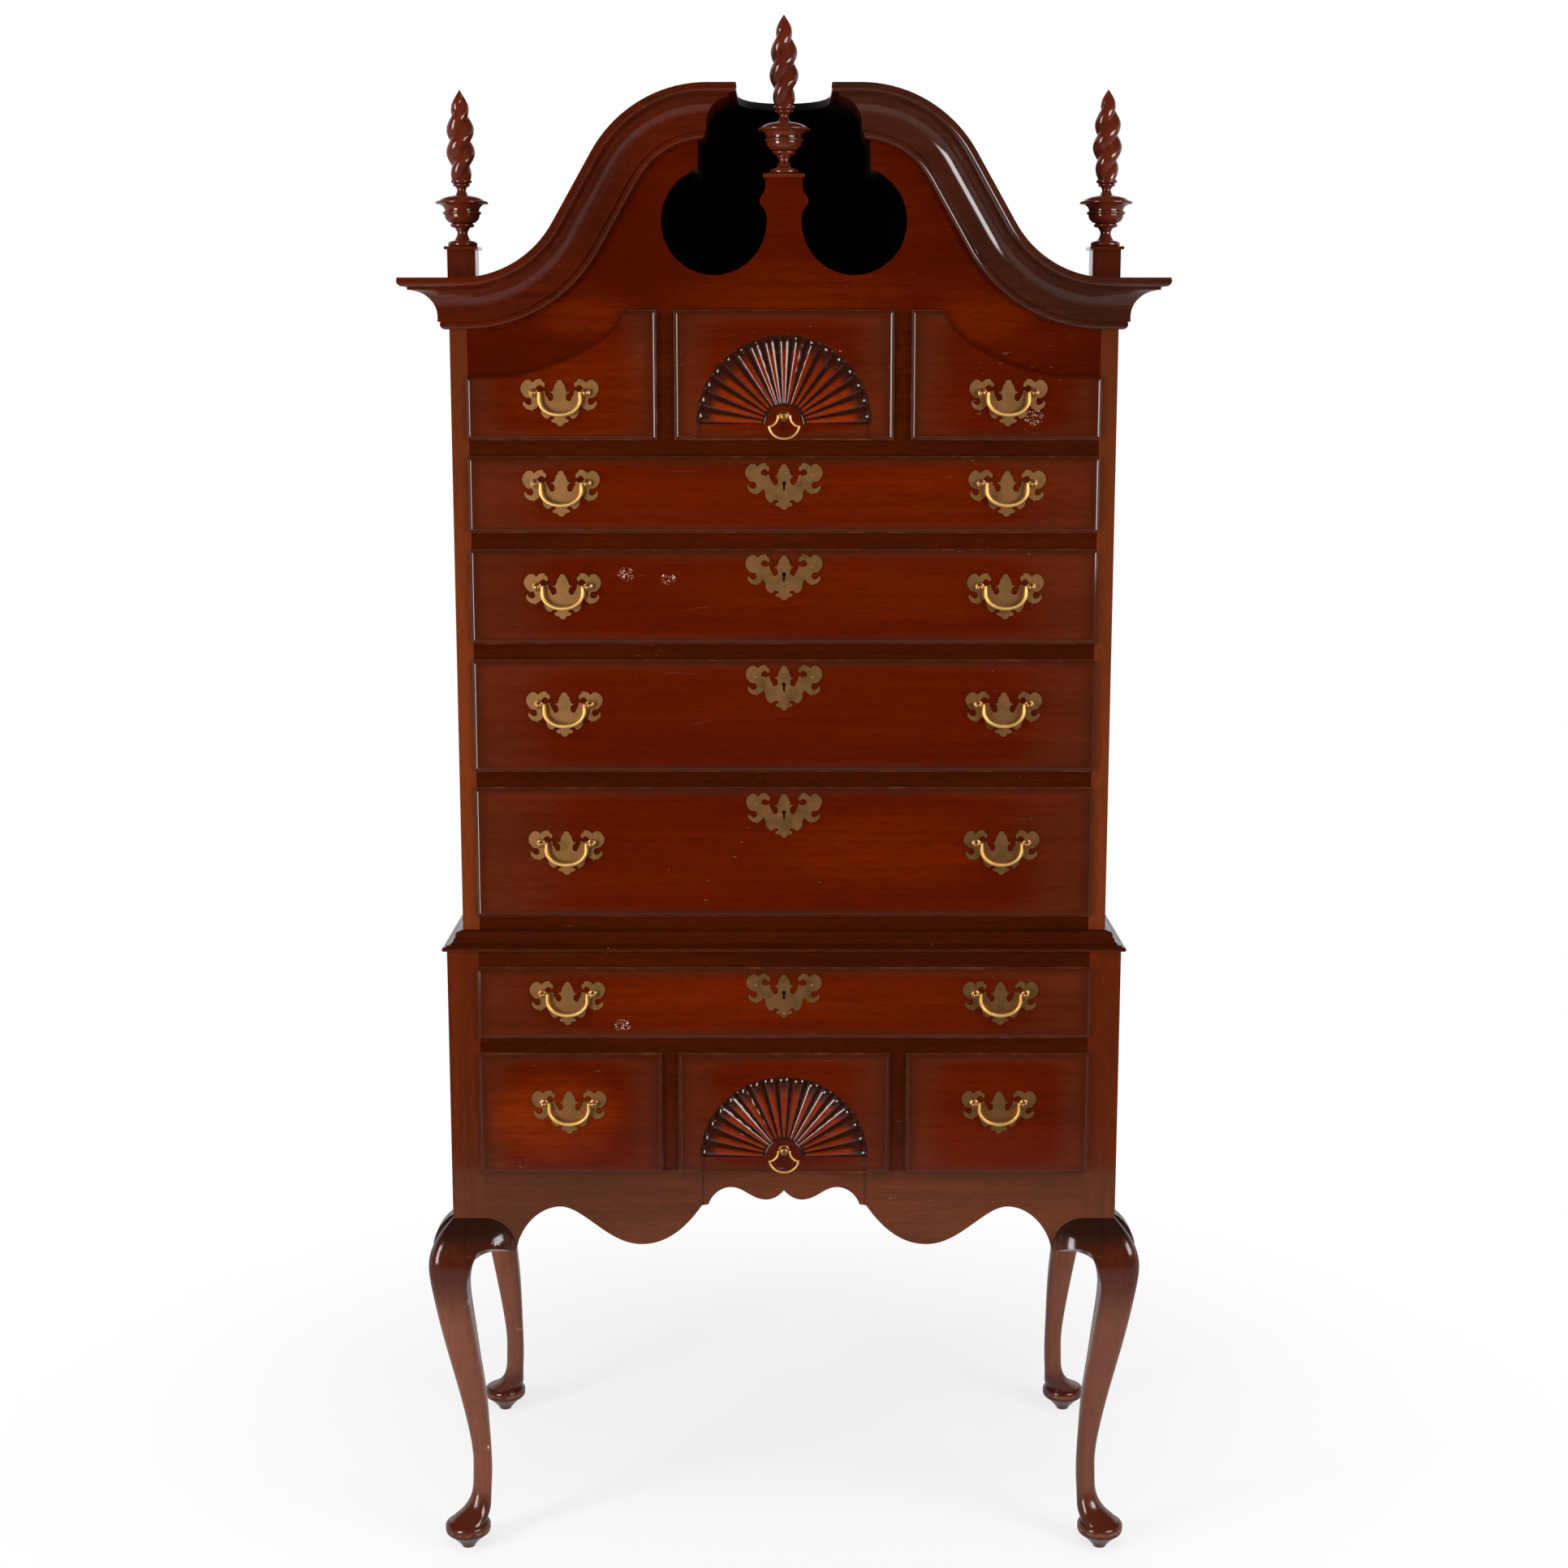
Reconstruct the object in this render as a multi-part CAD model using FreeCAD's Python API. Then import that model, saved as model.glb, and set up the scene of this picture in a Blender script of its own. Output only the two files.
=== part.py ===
import FreeCAD, Part
import math
import os

# A mahogany highboy in two parts: a tall upper case of drawers under a scrolled bonnet, standing on
# a lower case with four cabriole legs.  Millimetres.  X runs across the front, Y from front to back,
# Z up from the floor.  The origin is on the floor, in the middle of the whole outline.

V = FreeCAD.Vector

# ------------------------------------------------------------------ overall sizes
case_width = 965.0
case_depth = 508.0
upper_setback = 21.0
crown_projection = 61.5
crown_height = 68.0
knee_projection = 34.9

# ------------------------------------------------------------------ heights of the lower case
knee_top = 516.5
knee_depth = 51.0
apron_rise = 72.5
side_arch_rise = 11.5
lower_back_rise = 28.5
apron_arch_rise = 17.3
apron_lobe_drop = 40.2
apron_step_rise = 18.5
apron_peak_rise = 46.2
apron_dip_rise = 27.2
apron_point_rise = 41.1
small_drawer_height = 174.0
lower_blade = 28.0
lower_long_height = 99.0
lower_top_rail = 26.0

# ------------------------------------------------------------------ heights of the upper case
base_rail = 50.0
upper_blade = 28.5
long_heights = {"fourth": 182.0, "third": 154.0, "second": 127.0, "first": 100.0}
top_row_height = 171.5
top_board_gap = 5.0
top_board_thickness = 14.0

# ------------------------------------------------------------------ boards of the case
post_size = 45.0
upper_side_thickness = 24.0
lower_side_thickness = 22.0
front_board_thickness = 22.0
back_board_thickness = 12.0
back_rebate = 10.0
lower_back_thickness = 16.0
lower_back_setback = 4.0
bottom_board_thickness = 18.0
blade_depth = 90.0
divider_width = 29.0
divider_depth = 60.0
divider_runner_shelf = 14.0
centre_opening_half = 149.5
side_bracket = 46.0
side_arch = 52.0
runner_height = 20.0
runner_width = 34.0
guide_height = 24.0
board_gap = 0.6

# ------------------------------------------------------------------ drawers
lip_overlap = 3.0
lip_proud = 8.0
lip_step = 2.5
lip_quirk = 1.5
thumb_radius = 5.0
front_inside_thickness = 16.0
drawer_side_gap = 1.5
drawer_top_gap = 3.0
front_top_gap = 1.0
drawer_side_thickness = 11.0
drawer_bottom_thickness = 7.0
drawer_bottom_lift = 8.0
groove_depth = 5.0
drawer_rear_room = 20.0
tail_lap = 11.0
tail_pitch = 40.0
tail_flare = 4.0
tail_gap = 4.0
shoulder_rise = 84.0
shoulder_inset = 19.5
shoulder_long_radius = 300.0
shoulder_short_radius = 130.0
shoulder_turn = math.radians(30)
shoulder_box_drop = 3.0

# ------------------------------------------------------------------ carved fans
fan_radius = 121.5
fan_top_margin = 34.0
fan_wall = 5.0
fan_lobes = 17
fan_floor = 7.0
fan_strip_floor = 5.0
fan_hub_radius = 28.5
fan_hub_depth = 2.0
fan_hub_round = 2.5
fan_scoop_radius = 11.0
fan_pull_lift = 11.5
fan_scoop_inset = 2.0
fan_scoop_out = 5.5
fan_ray_fullness = 1.04
fan_ray_inner_drop = 4.2
fan_ray_outer_drop = 1.0
apron_recess = 2.0

# ------------------------------------------------------------------ brasses
plate_thickness = 1.6
plate_spread = 310.0
top_plate_rise = 49.0
lower_plate_rise = 91.5
# how far the pulls' plates sit above a drawer's middle, and the key plate below its top
brass_places = {
    "first": (3.0, 37.7),
    "second": (1.5, 35.5),
    "third": (4.0, 35.5),
    "fourth": (1.0, 36.0),
    "lower": (2.0, 36.5),
}
pivot_out = 8.5
pivot_lift = 13.0
post_spacing = 72.0
post_head_radius = 4.2
stub_radius = 1.5
stub_clearance = 0.08
bail_half_width = 28.4
bail_drop = 30.0
bail_arm_radius = 2.0
bail_swell_radius = 3.0
bail_straight = 9.0
shank_radius = 2.2
shank_clearance = 0.2
nut_width = 9.0
nut_thickness = 3.0
rosette_radius = 8.0
ring_head_radius = 6.4
ring_wire_radius = 1.5
ring_stub_radius = 1.3
ring_arm_x = 8.6
ring_corner_x = 21.0
ring_corner_drop = 14.6
ring_drop = 31.0
keyhole_radius = 2.8
keyhole_lift = 4.0
keyhole_slot = 2.6
keyhole_slot_foot = 6.0
pin_radius = 0.6
pin_head_radius = 1.6
pin_length = 8.0
pin_places = ((-40, 15), (40, 15), (0, -26))
lock_width = 64.0
lock_thickness = 9.0
lock_below = 16.0
lock_above = 22.0

# ------------------------------------------------------------------ scroll pediment
crown_drop = 23.5
crown_low_radius = 213.0
crown_low_inset = 23.9
crown_high_radius = 112.0
crown_rise = 255.0
crown_angle = math.radians(60)
roof_thickness = 10.0
notch_half_width = 118.0
notch_mouth_half = 64.0
notch_rear_fullness = 0.62
notch_depth = 205.0
return_depth = 100.0
scroll_hole_radius = 72.6
scroll_hole_x = 96.3
scroll_hole_rise = 146.1
bonnet_back_thickness = 14.0
cheek_thickness = 12.0
cheek_lift = 66.0
plinth_neck = 25.4
plinth_swell = 33.5
plinth_waist = 24.1
cap_half_width = 28.5
cap_thickness = 5.0
cap_front_overhang = 4.0
cap_rear_overhang = 2.0
plinth_block_width = 40.0
plinth_block_thickness = 20.0
plinth_block_rise = 109.0
centre_finial_setback = 17.0
centre_finial_rise = 209.0
side_plinth_inset = 16.0
side_plinth_size = 39.0
side_plinth_setback = 20.0
side_cap_overhang = 3.9
side_cap_thickness = 4.0
side_finial_rise = 113.0
flame_base = 90.8
flame_length = 120.2
flame_turns = 1.8
flame_strand = 0.705
flame_seat = 0.2
# each flame is set on its urn turned its own way
left_flame_start = math.radians(176)
centre_flame_start = math.radians(143)
right_flame_start = math.radians(120)

# ------------------------------------------------------------------ waist moulding
waist_height = 27.0
waist_reach = 27.5
# extra length of a moulding past its corner, cut away again at the mitre
mitre_spare = 80.0

# ------------------------------------------------------------------ places worked out from the sizes
half_width = case_width / 2
front_reach = case_depth / 2 - upper_setback + crown_projection
rear_reach = case_depth / 2 + knee_projection
case_mid = (front_reach - rear_reach) / 2
case_front = case_mid - case_depth / 2
case_back = case_mid + case_depth / 2
upper_front = case_front + upper_setback
upper_half = half_width - upper_setback
opening_half = upper_half - upper_side_thickness
side_opening_inner = centre_opening_half + divider_width

apron_foot = knee_top - knee_depth
apron_top = knee_top + apron_rise
small_row_bottom = apron_top
lower_long_bottom = small_row_bottom + small_drawer_height + lower_blade
case_top = lower_long_bottom + lower_long_height + lower_top_rail
fourth_bottom = case_top + base_rail
third_bottom = fourth_bottom + long_heights["fourth"] + upper_blade
second_bottom = third_bottom + long_heights["third"] + upper_blade
first_bottom = second_bottom + long_heights["second"] + upper_blade
top_row_bottom = first_bottom + long_heights["first"] + upper_blade
top_row_top = top_row_bottom + top_row_height
top_board_bottom = top_row_top + top_board_gap
top_board_top = top_board_bottom + top_board_thickness
crown_base = top_row_top - crown_drop
crown_end_height = crown_base + crown_rise
crown_low_start = upper_half - crown_low_inset
shoulder_start = opening_half - shoulder_inset
scroll_hole_z = crown_base + scroll_hole_rise
centre_finial_base = crown_base + centre_finial_rise
plinth_block_foot = crown_base + plinth_block_rise
side_finial_base = crown_base + side_finial_rise
side_plinth_x = upper_half - side_plinth_inset

# the apron carries on the lower fan's recess, a little narrower
apron_recess_half = fan_radius - 2.5

# every drawer is as long as the shallower upper case allows
drawer_length = case_depth - upper_setback - back_board_thickness - drawer_rear_room

# thickness of a drawer front from its face to its inner side, plain and at the fan's hub
front_through = lip_proud + front_inside_thickness
hub_through = front_through - fan_hub_depth

long_bottoms = {
    "fourth": fourth_bottom,
    "third": third_bottom,
    "second": second_bottom,
    "first": first_bottom,
}


# ------------------------------------------------------------------ small tools
def board(x0, x1, y0, y1, z0, z1):
    """A rectangular board between two opposite corners."""
    return Part.makeBox(x1 - x0, y1 - y0, z1 - z0, V(x0, y0, z0))


def cylinder_y(x, z, radius, y0, y1):
    """A round rod or hole along Y."""
    return Part.makeCylinder(radius, y1 - y0, V(x, y0, z), V(0, 1, 0))


def drawn(place, steps, close=True):
    """A wire through steps given in a flat plane: 2 numbers run straight to a point, 4 numbers
    bend through a middle point, 6 numbers are a cubic curve.  place puts (a, b) in space."""
    here = place(*steps[0])
    first = here
    edges = []
    for step in steps[1:]:
        stops = [place(step[i], step[i + 1]) for i in range(0, len(step), 2)]
        there = stops[-1]
        if len(step) == 2:
            if there.sub(here).Length < 1e-6:
                continue
            edges.append(Part.makeLine(here, there))
        elif len(step) == 4:
            edges.append(Part.Arc(here, stops[0], there).toShape())
        else:
            curve = Part.BezierCurve()
            curve.setPoles([here] + stops)
            edges.append(curve.toShape())
        here = there
    if close and here.sub(first).Length > 1e-6:
        edges.append(Part.makeLine(here, first))
    return Part.Wire(edges)


def plate_xz(steps, y0, y1):
    """A flat piece with its outline in the front plane, from y0 back to y1."""
    wire = drawn(lambda x, z: V(x, y0, z), steps)
    return Part.Face(wire).extrude(V(0, y1 - y0, 0))


def plate_yz(steps, x0, x1):
    """A flat piece with its outline seen from the side, from x0 to x1."""
    wire = drawn(lambda y, z: V(x0, y, z), steps)
    return Part.Face(wire).extrude(V(x1 - x0, 0, 0))


def mirror_x(shape):
    return shape.mirror(V(0, 0, 0), V(1, 0, 0))


def mirror_y(shape):
    return shape.mirror(V(0, case_mid, 0), V(0, 1, 0))


def mirror_steps(steps):
    """The left half of an outline, run from the top down, followed by its right half."""
    corners = [tuple(step[-2:]) for step in steps]
    right = []
    for index in range(len(steps) - 1, 0, -1):
        middle = steps[index][:-2]
        back = []
        for i in range(len(middle) - 2, -1, -2):
            back += [-middle[i], middle[i + 1]]
        end = corners[index - 1]
        right.append(tuple(back + [-end[0], end[1]]))
    return list(steps) + right


def save(name, *solids):
    """Write one named node as a group of separate solids."""
    parts = []
    for solid in solids:
        parts.extend(solid.Solids)
    shape = parts[0] if len(parts) == 1 else Part.makeCompound(parts)
    shape.exportStep("parts/" + name + ".step")


def mitre_wedge(x, y, along_x, along_y):
    """Everything on one side of a mitre's plane: the triangle between the corner, the point along_x
    across for every 1 forward, and the point straight along X (along_y 0) or straight forward."""
    reach = 300.0
    diagonal = V(x + reach * along_x, y - reach, 0)
    square = V(x + reach * along_x, y, 0) if along_y == 0 else V(x, y - reach, 0)
    face = Part.Face(Part.makePolygon([V(x, y, 0), diagonal, square, V(x, y, 0)]))
    return face.extrude(V(0, 0, crown_end_height + 2 * crown_height))


# ------------------------------------------------------------------ cabriole legs
# height as a share of the way from the pad's top to the knee's top, outer face and inner face
# measured outward from the case's side, and how round the outer corner and the other three are
pad_top = 43.0
leg_sections = [
    (-0.0105, 18.0, -38.0, 0.97, 0.97),
    (0.0146, 3.5, -41.5, 0.97, 0.97),
    (0.044, -9.0, -43.0, 0.97, 0.97),
    (0.100, -16.2, -44.1, 0.97, 0.97),
    (0.155, -17.0, -44.9, 0.95, 0.95),
    (0.207, -16.7, -44.5, 0.92, 0.92),
    (0.314, -10.0, -42.5, 0.85, 0.82),
    (0.418, -0.9, -39.5, 0.80, 0.72),
    (0.525, 9.5, -33.8, 0.76, 0.62),
    (0.630, 19.5, -28.5, 0.72, 0.50),
    (0.736, 28.1, -22.9, 0.68, 0.36),
    (0.795, 32.3, -21.5, 0.64, 0.24),
    (0.849, knee_projection - 0.1, -26.5, 0.58, 0.14),
    (0.8975, 32.5, -35.5, 0.50, 0.10),
    (0.9455, 22.0, -41.5, 0.40, 0.08),
    (0.981, 8.5, -43.5, 0.26, 0.08),
    (1.0, 0.0, -44.2, 0.16, 0.08),
]
pad_inset = 10.0
pad_profile = [
    (0, 0), (9.5, 0), (11, 3), (17, 10, 29, 21), (33, 25.5, 33, 31), (33, 36, 30, 39),
    (20, pad_top), (0, pad_top),
]


def leg_section(share, outer, inner, outer_round, other_round):
    """A square with rounded corners, its middle on the diagonal of the corner post."""
    z = pad_top + share * (knee_top - pad_top)
    half = (outer - inner) / 2
    centre = half_width + (outer + inner) / 2
    cx = -centre
    cy = case_front + half_width - centre
    corners = []
    for sx, sy in ((1, 1), (-1, 1), (-1, -1), (1, -1)):
        r = half * (outer_round if (sx, sy) == (-1, -1) else other_round)
        s = half - r
        bend = r * math.sqrt(0.5)
        on_x = (cx + sx * half, cy + sy * s)
        on_y = (cx + sx * s, cy + sy * half)
        middle = (cx + sx * (s + bend), cy + sy * (s + bend))
        begin, end = (on_x, on_y) if sx * sy > 0 else (on_y, on_x)
        corners.append((begin, middle, end))
    steps = [corners[0][0]]
    for begin, middle, end in corners:
        steps.append(begin)
        steps.append(middle + end)
    return drawn(lambda x, y: V(x, y, z), steps)


def cabriole_leg():
    """Front left leg: corner post, swelling knee, slim ankle and a round pad foot."""
    post = board(-half_width, -opening_half, case_front, case_front + post_size, knee_top, case_top)
    shank = Part.makeLoft([leg_section(*section) for section in leg_sections], True, False, False, 3)
    pad_x = -half_width + pad_inset
    pad_y = case_front + pad_inset
    pad_face = Part.Face(drawn(lambda r, z: V(pad_x + r, pad_y, z), pad_profile))
    pad = pad_face.revolve(V(pad_x, pad_y, 0), V(0, 0, 1), 360)
    return post.fuse(shank).fuse(pad).removeSplitter()


# ------------------------------------------------------------------ knee blocks
knee_block_radius = 45.5
knee_block_bulge = 33.0
knee_block_skirt = 60.0
knee_block_base = knee_top - knee_block_radius
knee_block_foot = knee_block_base - knee_block_skirt
knee_block_slope = 0.5
# underside of the block: across from the post's inner face, and up from the apron's foot
knee_hollow = [
    (57.5, -100), (57.5, 1), (knee_block_radius, 0), (15, 0),
    (-4, -5.5, -18.5, -17.2), (-24, -26, -27.3, -35), (-28, -68), (-28, -100),
]


def knee_block(leg):
    """The carved bracket beside the knee, on the front: a quarter dome over a hollowed underside,
    which slopes up from the apron's face to the bracket's front."""
    x = -opening_half
    inner = -half_width + front_board_thickness
    bulge_y = case_front - knee_block_bulge
    rear_y = case_front + front_board_thickness
    steps = [(0, 0), (knee_block_radius, 0), (27, -21, 0, -knee_block_bulge)]
    dome_face = Part.Face(drawn(lambda r, y: V(x, case_front + y, knee_block_base + r), steps))
    dome = dome_face.revolve(V(x, case_front, knee_block_base), V(0, 1, 0), 90)
    low_face = Part.Face(drawn(lambda r, y: V(x + r, case_front + y, knee_block_base), steps))
    low = low_face.extrude(V(0, 0, knee_block_foot - knee_block_base))
    flank = dome_face.extrude(V(inner - x, 0, 0))
    cheek = board(inner, x, bulge_y, case_front, knee_block_foot, knee_block_base)
    behind = board(inner, x + knee_block_radius, case_front, rear_y, knee_block_foot, apron_foot)
    block = dome.fuse(low).fuse(flank).fuse(cheek).fuse(behind)
    hollow = Part.Face(drawn(lambda a, b: V(x + a, case_front, apron_foot + b), knee_hollow))
    reach = knee_block_bulge + 20
    block = block.cut(hollow.extrude(V(0, -reach, reach * knee_block_slope)))
    return block.cut(hollow.extrude(V(0, reach, 0))).cut(leg)


# ------------------------------------------------------------------ lower case
def apron_steps():
    """Left half of the apron's outline, from the middle of its top to the middle of its bottom: a
    big arch beside the knee, a full lobe, a small step at the fan's recess, and a small arch."""
    tip = -opening_half + knee_block_radius
    arch = knee_top + apron_arch_rise
    lobe = knee_top - apron_lobe_drop
    peak = knee_top + apron_peak_rise
    dip = knee_top + apron_dip_rise
    step = knee_top + apron_step_rise
    return [
        (0, apron_top), (-opening_half, apron_top), (-opening_half, apron_foot), (tip, apron_foot),
        (tip + 8.5, arch - 23.5, tip + 40, arch, tip + 66, arch),
        (tip + 100, arch, -257.5, lobe, -208, lobe),
        (-167.5, lobe, -140, step - 29, -apron_recess_half - 1, step),
        (-apron_recess_half + 9, step + 1.5),
        (-105.8, step + 15, -93.5, peak, -76.7, peak),
        (-58.3, peak, -47.5, dip, -25.8, dip),
        (-14.9, dip, -6.7, dip + 6.5, 0, knee_top + apron_point_rise),
    ]


def front_apron():
    """The shaped skirt under the drawers, its middle cut back to carry on the carved fan's recess."""
    steps = mirror_steps(apron_steps())
    apron = plate_xz(steps, case_front, case_front + front_board_thickness)
    recess = board(-apron_recess_half, apron_recess_half, case_front - 1, case_front + apron_recess,
                   apron_foot - 10, apron_top + 1)
    return apron.cut(recess)


def lower_side():
    """Left side board between the posts, with an arched lower edge."""
    y0 = case_front + post_size
    y1 = case_back - post_size
    spring = side_bracket + 10
    crest = side_bracket + side_arch
    hip = apron_foot + 40
    arch_top = knee_top + side_arch_rise
    steps = [
        (y0, apron_foot), (y0 + side_bracket, apron_foot), (y0 + spring, hip, y0 + crest, arch_top),
        (y1 - crest, arch_top), (y1 - spring, hip, y1 - side_bracket, apron_foot), (y1, apron_foot),
        (y1, case_top), (y0, case_top),
    ]
    return plate_yz(steps, -half_width, -half_width + lower_side_thickness)


def lower_front_rails():
    """Top rail, the blade between the two rows and the two dividers of the bottom row."""
    back = case_front + blade_depth
    rail_bottom = case_top - lower_top_rail
    blade_foot = lower_long_bottom - lower_blade
    rails = [
        board(-opening_half, opening_half, case_front, back, rail_bottom, case_top),
        board(-opening_half, opening_half, case_front, back, blade_foot, lower_long_bottom),
    ]
    for side in (-1, 1):
        middle = side * (centre_opening_half + divider_width / 2)
        rails.append(board(middle - divider_width / 2, middle + divider_width / 2, case_front,
                           case_front + divider_depth, apron_top, blade_foot))
    return rails


def lower_backboard():
    """The back between the rear posts, and the rail along its top."""
    y1 = case_back - lower_back_setback
    y0 = y1 - lower_back_thickness
    rail_bottom = case_top - lower_top_rail
    return [
        board(-opening_half, opening_half, y0, y1, knee_top + lower_back_rise, rail_bottom),
        board(-opening_half, opening_half, case_back - post_size, y1, rail_bottom, case_top),
    ]


def row_runners(bottom, outer, y0, y1, guides):
    """Runners of one row: a pair at the case sides, with guides in the lower case's wider sides."""
    pieces = []
    for side in (-1, 1):
        inner = opening_half - runner_width
        x0, x1 = sorted((side * outer, side * inner))
        pieces.append(board(x0, x1, y0, y1, bottom - runner_height, bottom))
        if guides:
            x0, x1 = sorted((side * outer, side * opening_half))
            pieces.append(board(x0, x1, y0, y1, bottom, bottom + guide_height))
    return pieces


def divider_runners(bottom, y0, y1, guide_start):
    """Runners under the joins between three small drawers, each with a guide between the drawers."""
    pieces = []
    for side in (-1, 1):
        middle = side * (centre_opening_half + divider_width / 2)
        wide = divider_width / 2 + divider_runner_shelf
        pieces.append(board(middle - wide, middle + wide, y0, y1, bottom - runner_height, bottom))
        pieces.append(board(middle - divider_width / 2, middle + divider_width / 2, guide_start, y1,
                            bottom, bottom + guide_height))
    return pieces


def lower_runners():
    """All the runners and guides of the lower case's two rows."""
    y1 = case_back - lower_back_setback - lower_back_thickness
    outer = half_width - lower_side_thickness
    post_back = case_front + post_size
    rear = case_back - post_size
    pieces = row_runners(lower_long_bottom, outer, case_front + blade_depth, rear, True)
    pieces += row_runners(small_row_bottom, outer, post_back, rear, True)
    pieces += divider_runners(small_row_bottom, case_front + front_board_thickness, y1,
                              case_front + divider_depth)
    return pieces


# ------------------------------------------------------------------ waist moulding
waist_profile = [
    (0, 0), (24, 0), (waist_reach, 3.2, 24, 6.4), (22, 6.4), (22, 8.6), (14.5, 11, 12, 17.5),
    (10, 17.5), (10, 19.5), (8.5, 24.5, 3, 25.5), (3, waist_height), (0, waist_height),
]


def waist_moulding():
    """Three mitred lengths planted on the lower case round the foot of the upper case."""
    start_x = -upper_half - mitre_spare
    start_y = upper_front - mitre_spare
    side_face = Part.Face(drawn(lambda p, h: V(-upper_half - p, start_y, case_top + h), waist_profile))
    side = side_face.extrude(V(0, case_back - start_y, 0))
    side = side.cut(mitre_wedge(-upper_half, upper_front, -1, 1))
    front_face = Part.Face(drawn(lambda p, h: V(start_x, upper_front - p, case_top + h), waist_profile))
    front = front_face.extrude(V(-2 * start_x, 0, 0))
    front = front.cut(mitre_wedge(-upper_half, upper_front, -1, 0))
    front = front.cut(mitre_wedge(upper_half, upper_front, 1, 0))
    return [side, front, mirror_x(side)]


# ------------------------------------------------------------------ the crown's gooseneck line
def crown_line(offset, end_x=notch_half_width):
    """Left half of the gooseneck, raised square to itself by offset, run from the outer end up to
    end_x.  Two arcs joined by a straight stretch."""
    low = crown_low_radius - offset
    high = crown_high_radius + offset
    low_z = crown_base + crown_low_radius
    low_end = (-crown_low_start + crown_low_radius * math.sin(crown_angle),
               low_z - crown_low_radius * math.cos(crown_angle))
    high_z = crown_end_height - crown_high_radius
    rise = high_z + crown_high_radius * math.cos(crown_angle) - low_end[1]
    high_x = low_end[0] + rise / math.tan(crown_angle) + crown_high_radius * math.sin(crown_angle)

    def low_point(angle):
        return (-crown_low_start + low * math.sin(angle), low_z - low * math.cos(angle))

    def high_point(angle):
        return (high_x - high * math.sin(angle), high_z + high * math.cos(angle))

    steps = [low_point(0), low_point(crown_angle / 2) + low_point(crown_angle), high_point(crown_angle)]
    if end_x >= -high_x:
        end = math.asin((high_x + end_x) / high)
        steps.append(high_point((crown_angle + end) / 2) + high_point(end))
    else:
        steps.append(high_point(crown_angle / 2) + high_point(0))
        steps.append((-end_x, high_z + high))
    return steps


# outward reach from the case and height above the moulding's foot
crown_profile = [
    (0, 0), (4, 0), (10, 2.5, 10.5, 10), (14, 10), (14, 16), (23.5, 41.5, 46, 52), (49.5, 52),
    (49.5, 56), (51.5, 57), (60.5, 59, crown_projection, 66), (crown_projection, crown_height),
    (0, crown_height),
]


def crown_moulding():
    """Left half of the crown: the length along the side, the gooseneck up the front and the short
    return into the notch, mitred together at both corners.  The return reaches out a little less."""
    outer_x = -upper_half
    inner_x = -notch_half_width
    start_y = upper_front - mitre_spare
    side_face = Part.Face(drawn(lambda p, h: V(outer_x - p, start_y, crown_base + h), crown_profile))
    side = side_face.extrude(V(0, case_back - start_y, 0))
    side = side.cut(mitre_wedge(outer_x, upper_front, -1, 1))

    start = outer_x - mitre_spare
    line = crown_line(0, notch_half_width - mitre_spare)
    path = drawn(lambda x, z: V(x, upper_front, z), [(start, crown_base)] + line, False)
    section = drawn(lambda p, h: V(start, upper_front - p, crown_base + h), crown_profile)
    sweep = Part.BRepOffsetAPI.MakePipeShell(path)
    sweep.setBiNormalMode(V(0, 1, 0))
    sweep.add(section)
    sweep.build()
    sweep.makeSolid()
    goose = sweep.shape()
    goose = goose.cut(mitre_wedge(outer_x, upper_front, -1, 0))
    narrowed = (notch_half_width - notch_mouth_half) / crown_projection
    goose = goose.cut(mitre_wedge(inner_x, upper_front, narrowed, 0))

    foot = crown_line(0)[-1][-1]
    turn_face = Part.Face(drawn(lambda p, h: V(inner_x + narrowed * p, start_y, foot + h), crown_profile))
    turn = turn_face.extrude(V(0, return_depth + mitre_spare, 0))
    turn = turn.cut(mitre_wedge(inner_x, upper_front, narrowed, 1))
    return [side, goose, turn]


# ------------------------------------------------------------------ scroll board and bonnet
def shaped_line(inset):
    """The hollow shoulder of the left top drawer, drawn in by inset: from the flat top down two
    arcs to the point where it levels out."""
    low = shoulder_long_radius + inset
    high = shoulder_short_radius + inset
    flat = top_row_top + lip_overlap - inset
    low_z = top_row_bottom + shoulder_rise + shoulder_long_radius
    gap = shoulder_long_radius - shoulder_short_radius
    high_x = -shoulder_start + gap * math.sin(shoulder_turn)
    high_z = low_z - gap * math.cos(shoulder_turn)
    end = math.acos((high_z - flat) / high)

    def low_point(angle):
        return (-shoulder_start + low * math.sin(angle), low_z - low * math.cos(angle))

    def high_point(angle):
        return (high_x + high * math.sin(angle), high_z - high * math.cos(angle))

    return [high_point(end), high_point((end + shoulder_turn) / 2) + high_point(shoulder_turn),
            low_point(shoulder_turn / 2) + low_point(0)]


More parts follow.
